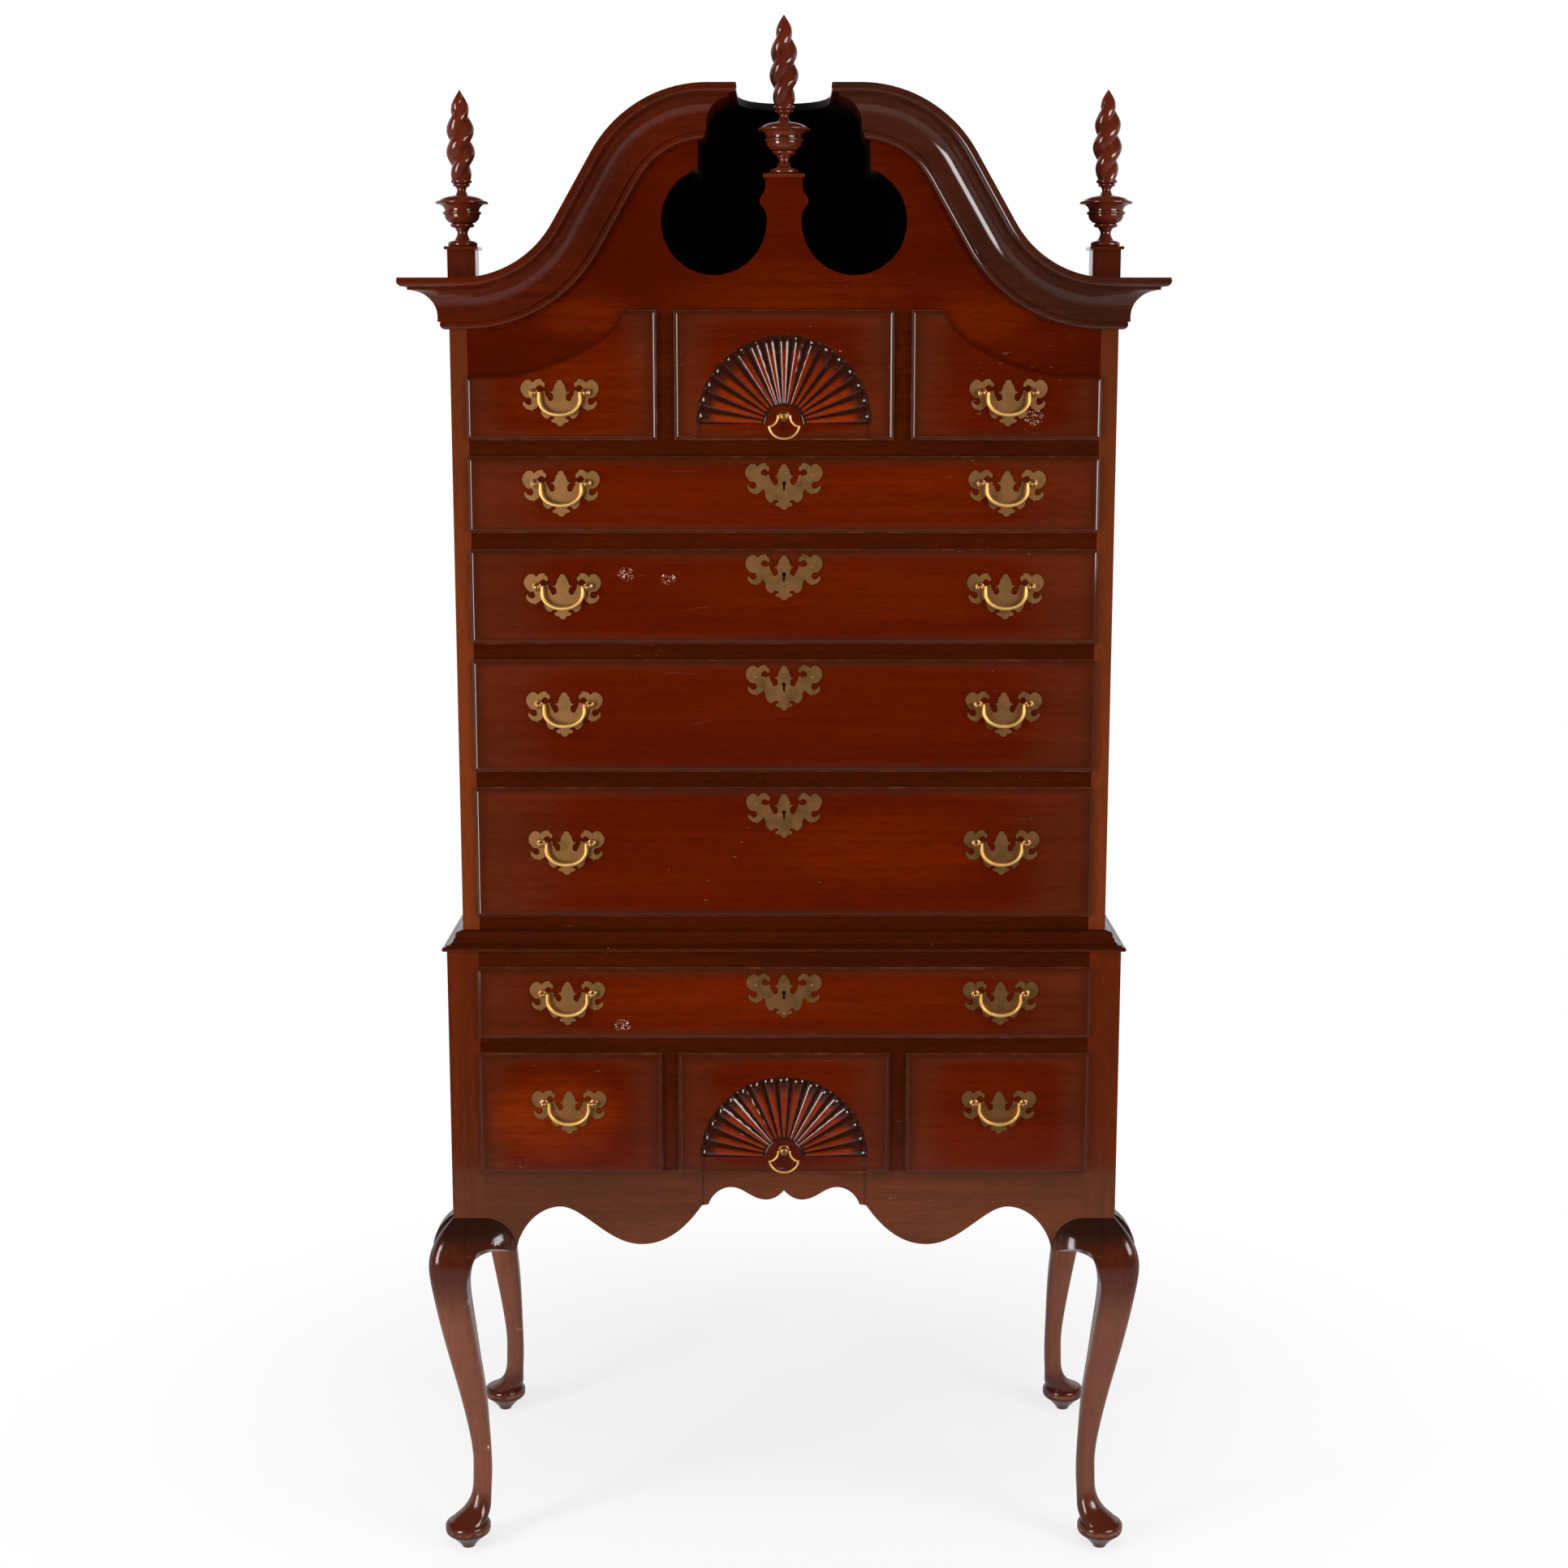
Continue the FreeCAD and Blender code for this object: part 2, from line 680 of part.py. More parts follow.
def scroll_board():
    """The pierced front board under the gooseneck, with the middle plinth standing in it."""
    shoulder = shaped_line(lip_overlap)
    line = crown_line(crown_height - roof_thickness)
    hole_left = (-scroll_hole_x - scroll_hole_radius, scroll_hole_z)
    hole_bottom = (-scroll_hole_x, scroll_hole_z - scroll_hole_radius)
    edge_drop = math.sqrt(scroll_hole_radius ** 2 - (notch_half_width - scroll_hole_x) ** 2)
    waist_rise = math.sqrt(scroll_hole_radius ** 2 - (scroll_hole_x - plinth_waist) ** 2)
    slope = math.sqrt(0.5) * scroll_hole_radius
    top = centre_finial_base
    outer = [
        (0, top - cap_thickness), (-plinth_neck, top - cap_thickness), (-plinth_neck, top - 19),
        (-plinth_neck, top - 25, -plinth_swell, top - 29, -plinth_swell, top - 36),
        (-plinth_swell, top - 43, -plinth_waist, top - 47, -plinth_waist, scroll_hole_z + waist_rise),
        (-scroll_hole_x + slope, scroll_hole_z - slope) + hole_bottom,
        (-scroll_hole_x - slope, scroll_hole_z - slope) + hole_left,
        (-scroll_hole_x - slope, scroll_hole_z + slope, -notch_half_width, scroll_hole_z + edge_drop),
        (-notch_half_width, line[-1][-1]),
    ]
    for index in range(len(line) - 1, 0, -1):
        outer.append(tuple(line[index][:-2]) + tuple(line[index - 1][-2:]))
    outer += [(-opening_half, line[0][1]), (-opening_half, shoulder[2][-1]), shoulder[2][-2:]]
    outer.append(shoulder[2][:2] + shoulder[1][-2:])
    outer.append(shoulder[1][:2] + shoulder[0])
    outer.append((0, top_row_top))
    wire = drawn(lambda x, z: V(x, upper_front, z), outer)
    half = Part.Face(wire).extrude(V(0, front_board_thickness, 0))
    return half.fuse(mirror_x(half)).removeSplitter()


def roof_half_face(end_x, y):
    """Section of the left roof boards, from the case side up to end_x."""
    under = crown_line(crown_height - roof_thickness, end_x)
    over = crown_line(crown_height, end_x)
    steps = [(-upper_half, under[0][1])] + [tuple(step) for step in under] + [over[-1][-2:]]
    for index in range(len(over) - 1, 0, -1):
        steps.append(tuple(over[index][:-2]) + tuple(over[index - 1][-2:]))
    steps.append((-upper_half, over[0][1]))
    return Part.Face(drawn(lambda x, z: V(x, y, z), steps))


def bonnet_roof():
    """Thin boards bent over the bonnet, cut away between the scrolls in a notch with a rounded rear,
    and the two cheeks that stand beside the notch."""
    rear = upper_front + notch_depth
    turn_end = upper_front + return_depth
    left = roof_half_face(0, upper_front).extrude(V(0, case_back - upper_front, 0))
    top = crown_end_height + crown_height
    half_plan = [
        (0, case_front), (-notch_half_width, case_front), (-notch_half_width, turn_end),
        (-notch_mouth_half, turn_end),
        (-notch_mouth_half, turn_end + notch_rear_fullness * (rear - turn_end),
         -notch_mouth_half * notch_rear_fullness, rear, 0, rear),
    ]
    notch_plan = mirror_steps(half_plan)
    notch = Part.Face(drawn(lambda x, y: V(x, y, top - crown_height), notch_plan))
    notch = notch.extrude(V(0, 0, 2 * crown_height))
    left = left.cut(notch)
    cheek_foot = scroll_hole_z + cheek_lift
    cheek_top = crown_line(crown_height - roof_thickness)[-1][-1]
    cheek = board(-notch_half_width - cheek_thickness, -notch_half_width,
                  upper_front + front_board_thickness, rear, cheek_foot, cheek_top + 5)
    cheek = cheek.cut(left)
    return [left, mirror_x(left), cheek, mirror_x(cheek)]


def bonnet_back():
    """The board that closes the bonnet behind, with the roof's outline."""
    line = crown_line(crown_height - roof_thickness, 0)
    steps = [(0, top_board_top), (-opening_half, top_board_top), (-opening_half, line[0][1])]
    steps += [tuple(step) for step in line]
    wire = drawn(lambda x, z: V(x, case_back - bonnet_back_thickness, z), steps)
    half = Part.Face(wire).extrude(V(0, bonnet_back_thickness, 0))
    return half.fuse(mirror_x(half)).removeSplitter()


# ------------------------------------------------------------------ finials
finial_profile = [
    (0, 0), (17.8, 0), (20.4, 3.6, 17.8, 7.2), (15.6, 8), (10.4, 10.4, 8.4, 14.6),
    (7.2, 18.6, 9.2, 23.4), (10.4, 25.6, 13.4, 26.4), (15, 27.2), (16.6, 29.2, 15, 31.2), (14, 31.8),
    (21.6, 36.2, 24.4, 43), (23.6, 43.8), (26.6, 46, 23.6, 48.2), (23.8, 50), (26.4, 54.8, 33, 57.8),
    (34.4, 58), (36.4, 59.7, 34.4, 61.4), (32.6, 61.9), (25, 66.4, 14.8, 68.4), (12.8, 69.2),
    (8.6, 70.4, 7.2, 73.4), (6.2, 77, 8.4, 81), (10.2, 82), (11.8, 83.6, 10.2, 85.2),
    (12.6, 86), (14.4, 88.4, 12.8, flame_base), (0, flame_base),
]
flame_widths = [13.0, 18.4, 26.6, 16.0, 19.4, 0.6]


def flame_half_width(t):
    """Outer reach of the flame at a share t of its length, a smooth bulb drawn out to a point."""
    last = len(flame_widths) - 1
    total = 0.0
    for i, width in enumerate(flame_widths):
        total += math.comb(last, i) * t ** i * (1 - t) ** (last - i) * width
    return total


def flame(x, y, base, start):
    """Two round strands twisted together: a smooth surface over each, meeting in sharp grooves."""
    rows = 34
    across = 12
    strands = []
    for half_turn in (0, math.pi):
        grid = []
        for row in range(rows + 1):
            t = row / rows
            reach = flame_half_width(t)
            strand = flame_strand * reach
            shift = reach - strand
            turn = start + half_turn + 2 * math.pi * flame_turns * t
            line = []
            for step in range(across + 1):
                a = math.pi * (step / across - 0.5)
                r = shift * math.cos(a) + math.sqrt(strand ** 2 - (shift * math.sin(a)) ** 2)
                line.append(V(x + r * math.cos(a + turn), y + r * math.sin(a + turn),
                              base + flame_length * t))
            grid.append(line)
        surface = Part.BSplineSurface()
        surface.interpolate(grid)
        strands.append(surface)
    first, last = strands[0].bounds()[:2]
    faces = [surface.toShape() for surface in strands]
    for end in (first, last):
        faces.append(Part.Face(Part.Wire([surface.uIso(end).toShape() for surface in strands])))
    shell = Part.makeShell(faces)
    shell.sewShape()
    solid = Part.makeSolid(shell)
    if solid.Volume < 0:
        solid.reverse()
    return solid


def finial(x, y, base, start):
    """A turned urn with a twisted flame."""
    face = Part.Face(drawn(lambda r, z: V(x + r, y, base + z), finial_profile))
    urn = face.revolve(V(x, y, 0), V(0, 0, 1), 360)
    return urn.fuse(flame(x, y, base + flame_base - flame_seat, start))


def side_finials():
    """The two corner finials, each on its square plinth with a thin cap."""
    half = side_plinth_size / 2
    y = upper_front + side_plinth_setback + half
    roof_z = crown_base + crown_height
    cap_bottom = side_finial_base - side_cap_thickness
    roof = roof_half_face(0, upper_front).extrude(V(0, case_back - upper_front, 0))
    x = -side_plinth_x
    plinth = board(x - half, x + half, y - half, y + half, roof_z, cap_bottom).cut(roof)
    over = half + side_cap_overhang
    cap = board(x - over, x + over, y - over, y + over, cap_bottom, side_finial_base)
    left = finial(x, y, side_finial_base, left_flame_start)
    right = finial(-x, y, side_finial_base, right_flame_start)
    return [plinth, cap, left, mirror_x(plinth), mirror_x(cap), right]


def centre_finial():
    """The middle finial, its cap on the scroll board's plinth and the block glued behind."""
    back = upper_front + front_board_thickness
    block_back = back + plinth_block_thickness
    cap_foot = centre_finial_base - cap_thickness
    cap = board(-cap_half_width, cap_half_width, upper_front - cap_front_overhang,
                block_back + cap_rear_overhang, cap_foot, centre_finial_base)
    half = plinth_block_width / 2
    block = board(-half, half, back, block_back, plinth_block_foot, cap_foot)
    turned = finial(0, upper_front + centre_finial_setback, centre_finial_base, centre_flame_start)
    return [cap, block, turned]


# ------------------------------------------------------------------ upper case
def upper_side():
    """Left side board, from the lower case up to the roof, rebated for the backboards."""
    side = board(-upper_half, -opening_half, upper_front, case_back, case_top,
                 crown_base + crown_height - roof_thickness)
    rebate = board(-opening_half - back_rebate, -opening_half, case_back - back_board_thickness, case_back,
                   case_top, top_board_top)
    return side.cut(rebate)


def upper_top_and_bottom():
    """The bottom board behind the base rail and the top board over the top row."""
    y1 = case_back - back_board_thickness
    return [
        board(-opening_half, opening_half, upper_front + blade_depth, y1, case_top,
              case_top + bottom_board_thickness),
        board(-opening_half, opening_half, upper_front + front_board_thickness, y1,
              top_board_bottom, top_board_top),
    ]


def upper_front_rails():
    """Base rail, the blades between the rows and the two dividers of the top row."""
    back = upper_front + blade_depth
    rails = [board(-opening_half, opening_half, upper_front, back, case_top, fourth_bottom)]
    for bottom in (third_bottom, second_bottom, first_bottom, top_row_bottom):
        rails.append(board(-opening_half, opening_half, upper_front, back, bottom - upper_blade, bottom))
    for side in (-1, 1):
        middle = side * (centre_opening_half + divider_width / 2)
        rails.append(board(middle - divider_width / 2, middle + divider_width / 2, upper_front,
                           upper_front + divider_depth, top_row_bottom, top_row_top))
    return rails


def upper_runners():
    """All the runners and guides of the upper case's five rows."""
    y0 = upper_front + blade_depth
    y1 = case_back - back_board_thickness
    pieces = []
    for bottom in list(long_bottoms.values()) + [top_row_bottom]:
        pieces += row_runners(bottom, opening_half, y0, y1, False)
    pieces += divider_runners(top_row_bottom, y0, y1, y0)
    return pieces


def upper_backboards():
    """Four wide boards nailed across the back in the sides' rebates."""
    count = 4
    step = (top_board_top - case_top) / count
    half = opening_half + back_rebate
    boards = []
    for i in range(count):
        low = case_top + i * step
        high = low + step - (board_gap if i < count - 1 else 0)
        boards.append(board(-half, half, case_back - back_board_thickness, case_back, low, high))
    return boards


# ------------------------------------------------------------------ drawers
def rectangle(x0, x1, z0, z1, inset):
    return [
        (x0 + inset, z0 + inset), (x1 - inset, z0 + inset),
        (x1 - inset, z1 - inset), (x0 + inset, z1 - inset),
    ]


def shaped_outline(outer, inner, low, inset):
    """Outline of the left corner drawer under its hollow shoulder."""
    line = shaped_line(inset)
    return [(outer, low), (inner, low), (inner, line[0][1])] + line + [(outer, line[-1][-1])]


def lipped_front(outline, y, hole_outline):
    """A drawer front: a thumb-moulded lip proud of the case, and the thickness inside the opening."""
    edge = plate_xz(outline(0), y - lip_step, y)
    field = plate_xz(outline(lip_quirk), y - lip_proud, y)
    rim = [e for e in field.Edges if all(abs(v.Y - (y - lip_proud)) < 1e-6 for v in e.Vertexes)]
    field = field.makeFillet(thumb_radius, rim)
    inside = plate_xz(hole_outline, y, y + front_inside_thickness)
    return edge.fuse(field).fuse(inside).removeSplitter()


def tails(x0, x1, z0, z1, y_narrow, y_wide):
    """A row of dovetails on the end of a drawer side, widening from y_narrow to y_wide."""
    count = max(2, int(round((z1 - z0) / tail_pitch)))
    pitch = (z1 - z0) / count
    pieces = []
    for i in range(count):
        middle = z0 + pitch * (i + 0.5)
        wide = pitch / 2 - tail_gap / 2
        narrow = wide - tail_flare
        steps = [
            (y_narrow, middle - narrow), (y_wide, middle - wide),
            (y_wide, middle + wide), (y_narrow, middle + narrow),
        ]
        pieces.append(plate_yz(steps, x0, x1))
    return pieces


def drawer(front, x0, x1, z0, height, y):
    """A dovetailed drawer: front, two sides, back and a bottom slid into grooves."""
    left = x0 + drawer_side_gap
    right = x1 - drawer_side_gap
    top = z0 + height - drawer_top_gap
    inside = y + front_inside_thickness
    rear = y + drawer_length
    back_front = rear - drawer_side_thickness
    floor = z0 + drawer_bottom_lift
    floor_top = floor + drawer_bottom_thickness
    grooved = drawer_side_thickness - groove_depth
    bottom = board(left + grooved, right - grooved, inside - groove_depth, rear, floor, floor_top)
    back = board(left, right, back_front, rear, floor_top, top)
    sides = []
    for s0, s1 in ((left, left + drawer_side_thickness), (right - drawer_side_thickness, right)):
        side = board(s0, s1, inside, back_front, z0, top)
        low = board(s0, s1, back_front, rear, z0, floor_top)
        side = side.fuse(low)
        for tail in tails(s0, s1, z0, top, inside, inside - tail_lap):
            side = side.fuse(tail)
            front = front.cut(tail)
        for tail in tails(s0, s1, floor_top, top, back_front, rear):
            side = side.fuse(tail)
            back = back.cut(tail)
        sides.append(side.cut(bottom).removeSplitter())
    front = front.cut(bottom)
    return [front] + sides + [back, bottom]


def plain_front(x0, x1, z0, z1, y):
    lip = lip_overlap
    body = rectangle(x0 + drawer_side_gap, x1 - drawer_side_gap, z0, z1 - front_top_gap, 0)
    return lipped_front(lambda inset: rectangle(x0 - lip, x1 + lip, z0 - lip, z1 + lip, inset), y, body)


def shaped_front(y):
    """Front of the left corner drawer of the top row."""
    def lip(inset):
        return shaped_outline(-opening_half - lip_overlap + inset, -side_opening_inner + lip_overlap - inset,
                              top_row_bottom - lip_overlap + inset, inset)

    body = shaped_outline(-opening_half + drawer_side_gap, -side_opening_inner - drawer_side_gap,
                          top_row_bottom, lip_overlap + front_top_gap)
    return lipped_front(lip, y, body)


# ------------------------------------------------------------------ carved fan
def fan_lobe(angle, y_face):
    """One convex ray of the fan, its outer end scooped hollow."""
    spread = math.tan(math.pi / fan_lobes / 2) * fan_ray_fullness
    near = fan_hub_radius - 6
    far = fan_radius + 1.5
    near_radius = near * spread
    far_radius = far * spread
    start = V(near, y_face + fan_ray_inner_drop + near_radius, 0)
    end = V(far, y_face + fan_ray_outer_drop + far_radius, 0)
    ray = Part.makeCone(near_radius, far_radius, end.sub(start).Length, start, end.sub(start))
    keep = board(0, far + 30, y_face - 5, y_face + fan_floor + 0.5, -30, 30)
    ray = ray.common(keep)
    scoop = Part.makeSphere(fan_scoop_radius, V(fan_radius - fan_scoop_inset, y_face - fan_scoop_out, 0))
    ray = ray.cut(scoop)
    ray.rotate(V(0, 0, 0), V(0, -1, 0), math.degrees(angle))
    return ray


def carve_fan(front, base, level, y_face):
    """Sink the fan into a drawer front: the recess with its sloping wall, seventeen scooped rays
    above the level line, a plain strip below it down to base, and a half-round hub."""
    slope = fan_wall / fan_floor
    wide = fan_radius + slope
    above = board(-wide, wide, y_face - 2, y_face + fan_floor + 1, level, level + wide)
    half_disc = Part.makeCone(wide, fan_radius - fan_wall, fan_floor + 1, V(0, y_face - 1, level), V(0, 1, 0))
    narrow = fan_radius - slope * fan_strip_floor
    strip_steps = [
        (-wide, y_face - 1), (wide, y_face - 1),
        (narrow, y_face + fan_strip_floor), (-narrow, y_face + fan_strip_floor),
    ]
    strip = Part.Face(drawn(lambda x, y: V(x, y, base - 1), strip_steps)).extrude(V(0, 0, level - base + 1))
    front = front.cut(half_disc.common(above)).cut(strip)
    rays = []
    for i in range(fan_lobes):
        ray = fan_lobe(math.pi * (i + 0.5) / fan_lobes, y_face)
        ray.translate(V(0, 0, level))
        rays.append(ray)
    hub_face = y_face + fan_hub_depth
    hub = cylinder_y(0, level, fan_hub_radius, hub_face, y_face + fan_floor + 1)
    rim = [e for e in hub.Edges if e.BoundBox.YMax < hub_face + 1e-6]
    hub = hub.makeFillet(fan_hub_round, rim).common(above)
    return front.fuse(rays + [hub])


# ------------------------------------------------------------------ brasses
# left half of the back plate from its top point down to its bottom point, from the plate's middle
plate_outline = [
    (0, 30.4), (-3.2, 29.2, -4.4, 26.2), (-5.8, 24.3), (-7.8, 22.6), (-7.0, 20.6), (-8.9, 17.7),
    (-10.2, 14.7, -13.6, 14.6), (-13.2, 13.3), (-9.8, 11.2, -8.6, 7.4), (-9.8, 2.9, -15.0, 2.0), (-17.4, 7.0),
    (-18.6, 9.0, -20.0, 12.2), (-20.7, 15.2, -22.6, 15.8), (-24.8, 14.2), (-28.0, 14.9),
    (-32.2, 18.5, -30.0, 22.0), (-26.5, 23.5, -23.5, 20.9), (-21.1, 21.5, -20.3, 24.3),
    (-21.7, 27.2, -24.3, 28.4), (-24.8, 31.4), (-31.3, 31.0, -37.1, 26.3), (-43.5, 30.7, -49.0, 28.3),
    (-53.7, 20.4, -50.4, 10.4), (-47.8, 7.4, -43.9, 6.0), (-40.2, 5.3, -38.9, 2.0),
    (-39.8, -2.6, -43.0, -3.7), (-46.5, -2.2, -49.6, 2.2), (-50.9, -2.6, -48.1, -7.0),
    (-44.3, -9.8, -40.3, -10.2), (-38.3, -12.0), (-36.5, -9.8), (-32.4, -7.6, -29.3, -2.6),
    (-25.8, -9.6), (-24.3, -17.8, -17.8, -22.7), (-15.7, -21.5), (-12.6, -19.1, -8.3, -20.3),
    (-7.4, -22.2), (-12.2, -24.3), (-9.6, -27.8, -5.7, -27.8), (-3.5, -31.3, 0, -32.8),
]


def brass_plate(x, z, y):
    """A pierced-edge back plate lying on a drawer front whose face is at y."""
    wire = drawn(lambda a, b: V(x + a, y - plate_thickness, z + b), mirror_steps(plate_outline))
    return Part.Face(wire).extrude(V(0, plate_thickness, 0))


# radius and distance out from the plate's face
post_shank_length = plate_thickness + front_through + nut_thickness
post_profile = [
    (0, -post_shank_length), (shank_radius, -post_shank_length), (shank_radius, 0), (6, 0),
    (6.4, 1.1, 5.2, 1.9), (3.2, 2.9), (3.2, 4.1), (post_head_radius, 6.5, post_head_radius, 8.9),
    (3.5, 11.1, 1.2, 12.2), (0, 12.2),
]


def square_nut(x, z, inner_face):
    """A nut against the inner side of a drawer front, bored for the shank."""
    half = nut_width / 2
    nut = board(x - half, x + half, inner_face, inner_face + nut_thickness, z - half, z + half)
    return nut.cut(cylinder_y(x, z, shank_radius, inner_face - 1, inner_face + nut_thickness + 1))


def bail_post(x, z, y, towards):
    """A post with a round head that holds one end of a bail, and its square nut inside the drawer."""
    face = Part.Face(drawn(lambda r, d: V(x + r, y - plate_thickness - d, z), post_profile))
    post = face.revolve(V(x, 0, z), V(0, 1, 0), 360)
    mouth = V(x + towards * 1.4, y - pivot_out, z)
    hole = Part.makeCylinder(stub_radius + stub_clearance, post_head_radius, mouth, V(towards, 0, 0))
    return [post.cut(hole), square_nut(x, z, y + front_through)]


def bail_pull(x, z, y):
    """Back plate, two posts and two nuts of one pull."""
    plate = brass_plate(x, z, y)
    pieces = []
    for side in (-1, 1):
        px = x + side * post_spacing / 2
        plate = plate.cut(cylinder_y(px, z + pivot_lift, shank_radius, y - 5, y + 5))
        pieces += bail_post(px, z + pivot_lift, y, -side)
    return [plate] + pieces


def bail(x, z, y):
    """The swinging handle: thin arms that swell to the grip, with a stub at each end in a post."""
    py = y - pivot_out
    pz = z + pivot_lift
    half = [(-bail_half_width, 0), (-bail_half_width, -bail_straight),
            (-bail_half_width, -0.68 * bail_drop, -0.6 * bail_half_width, -bail_drop, 0, -bail_drop)]
    path = drawn(lambda a, b: V(x + a, py, pz + b), half, False)
    thin = Part.Wire(Part.makeCircle(bail_arm_radius, V(x - bail_half_width, py, pz), V(0, 0, 1)))
    thick = Part.Wire(Part.makeCircle(bail_swell_radius, V(x, py, pz - bail_drop), V(1, 0, 0)))
    sweep = Part.BRepOffsetAPI.MakePipeShell(path)
    sweep.add(thin)
    sweep.add(thick)
    sweep.build()
    sweep.makeSolid()
    arm = sweep.shape()
    knuckle = Part.makeSphere(bail_arm_radius + 0.15, V(x - bail_half_width, py, pz))
    stub_length = post_spacing / 2 - bail_half_width - 1.6
    stub = Part.makeCylinder(stub_radius, stub_length, V(x - bail_half_width, py, pz), V(-1, 0, 0))
    left = arm.fuse(knuckle).fuse(stub)
    right = left.mirror(V(x, 0, 0), V(1, 0, 0))
    return left.fuse(right)


def key_opening(z, y0, y1):
    """The keyhole: a round hole over a narrow slot."""
    hole = cylinder_y(0, z + keyhole_lift, keyhole_radius, y0, y1)
    half = keyhole_slot / 2
    return hole.fuse(board(-half, half, y0, y1, z - keyhole_slot_foot, z + keyhole_lift))


def escutcheon(z, y):
    """A key plate of the same outline, its keyhole, three pins and the lock behind it."""
    face = y - plate_thickness
    plate = brass_plate(0, z, y).cut(key_opening(z, face - 1, y + 1))
    pins = []
    for px, pz in pin_places:
        head = Part.makeSphere(pin_head_radius, V(px, face, z + pz))
        pins.append(head.fuse(cylinder_y(px, z + pz, pin_radius, face, y + pin_length)))
    for pin in pins:
        plate = plate.cut(pin)
    back = y + front_through
    half = lock_width / 2
    lock = board(-half, half, back - lock_thickness, back, z - lock_below, z + lock_above)
    return [plate] + pins + [lock]


def key_cut(front, z, y):
    """Cut the keyhole, the pins' holes and the lock's mortise in a drawer front."""
    for px, pz in pin_places:
        front = front.cut(cylinder_y(px, z + pz, pin_radius, y - 1, y + pin_length))
    back = y + front_through
    half = lock_width / 2
    mortise = board(-half, half, back - lock_thickness, back + 1, z - lock_below, z + lock_above)
    return front.cut(key_opening(z, y - 1, back)).cut(mortise)


def pull_cut(front, x, z, y):
    """Bore a drawer front for the two posts of a pull."""
    bores = []
    bore_radius = shank_radius + shank_clearance
    for side in (-1, 1):
        px = x + side * post_spacing / 2
        bores.append(cylinder_y(px, z + pivot_lift, bore_radius, y - 1, y + front_through + 1))
    return front.cut(Part.makeCompound(bores))


def ring_rosette(z, y):
    """The round rosette and its knob that carries the drop ring, and the nut behind."""
    shank = hub_through + nut_thickness
    steps = [
        (0, shank), (shank_radius, shank), (shank_radius, 0), (rosette_radius, 0), (rosette_radius, -1.2),
        (7, -2.6, 5, -2.8), (3.4, -3.6), (3.4, -5), (ring_head_radius, -6.2, ring_head_radius, -pivot_out),
        (5.2, -11.2, 1.4, -12.4), (0, -12.4),
    ]
    face = Part.Face(drawn(lambda r, d: V(r, y + d, z), steps))
    knob = face.revolve(V(0, 0, z), V(0, 1, 0), 360)
    for side in (-1, 1):
        mouth = V(side * 4.2, y - pivot_out, z)
        hole = Part.makeCylinder(ring_stub_radius + stub_clearance, 5, mouth, V(side, 0, 0))
        knob = knob.cut(hole)
    return [knob, square_nut(0, z, y + hub_through)]


def drop_ring(z, y):
    """The swinging ring: hollow shoulders from the knob out to two corners, then a round bottom."""
    py = y - pivot_out
    corner = (-ring_corner_x, -ring_corner_drop)
    bends = [
        [(-ring_arm_x, 0), (-11.6, -9.6) + corner],
        [corner, (-14.2, -26.4, 0, -ring_drop)],
    ]
    pieces = []
    for steps in bends:
        path = drawn(lambda a, b: V(a, py, z + b), steps, False)
        edge = path.Edges[0]
        begin = edge.valueAt(edge.FirstParameter)
        tangent = edge.tangentAt(edge.FirstParameter)
        sweep = Part.BRepOffsetAPI.MakePipeShell(path)
        sweep.setBiNormalMode(V(0, 1, 0))
        sweep.add(Part.Wire(Part.makeCircle(ring_wire_radius, begin, tangent)))
        sweep.build()
        sweep.makeSolid()
        pieces.append(sweep.shape())
    eye = V(-ring_arm_x, py, z)
    pieces.append(Part.makeSphere(ring_wire_radius, V(corner[0], py, z + corner[1])))
    pieces.append(Part.makeSphere(ring_wire_radius + 0.1, eye))
    pieces.append(Part.makeCylinder(ring_stub_radius, 4.0, eye, V(1, 0, 0)))
    left = pieces[0].fuse(pieces[1:])
    return left.fuse(mirror_x(left))


# ------------------------------------------------------------------ build everything
def build_lower_case():
    leg = cabriole_leg()
    front_block = knee_block(leg)
    diagonal = V(1, -1, 0)
    corner = V(-half_width, case_front, 0)
    side_block = front_block.mirror(corner, diagonal)
    save("leg_front_left", leg, front_block, side_block)
    save("leg_front_right", mirror_x(leg), mirror_x(front_block), mirror_x(side_block))
    rear_leg = mirror_y(leg)
    rear_block = mirror_y(side_block)
    save("leg_rear_left", rear_leg, rear_block)
    save("leg_rear_right", mirror_x(rear_leg), mirror_x(rear_block))
    side = lower_side()
    save("lower_case_sides", side, mirror_x(side))
    save("front_apron", front_apron())
    save("lower_case_front_rails", *lower_front_rails())
    save("lower_case_back", *lower_backboard())
    save("lower_drawer_runners", *lower_runners())
    save("waist_moulding", *waist_moulding())


def build_upper_case():
    side = upper_side()
    save("upper_case_sides", side, mirror_x(side))
    save("upper_case_top_and_bottom", *upper_top_and_bottom())
    save("upper_case_front_rails", *upper_front_rails())
    save("upper_drawer_runners", *upper_runners())
    save("upper_case_backboards", *upper_backboards())
    save("scroll_board", scroll_board())
    save("bonnet_roof", *bonnet_roof())
    save("bonnet_back", bonnet_back())
    crown = crown_moulding()
    save("crown_moulding_left", *crown)
    save("crown_moulding_right", *[mirror_x(piece) for piece in crown])
    save("side_finials", *side_finials())
    save("centre_finial", *centre_finial())


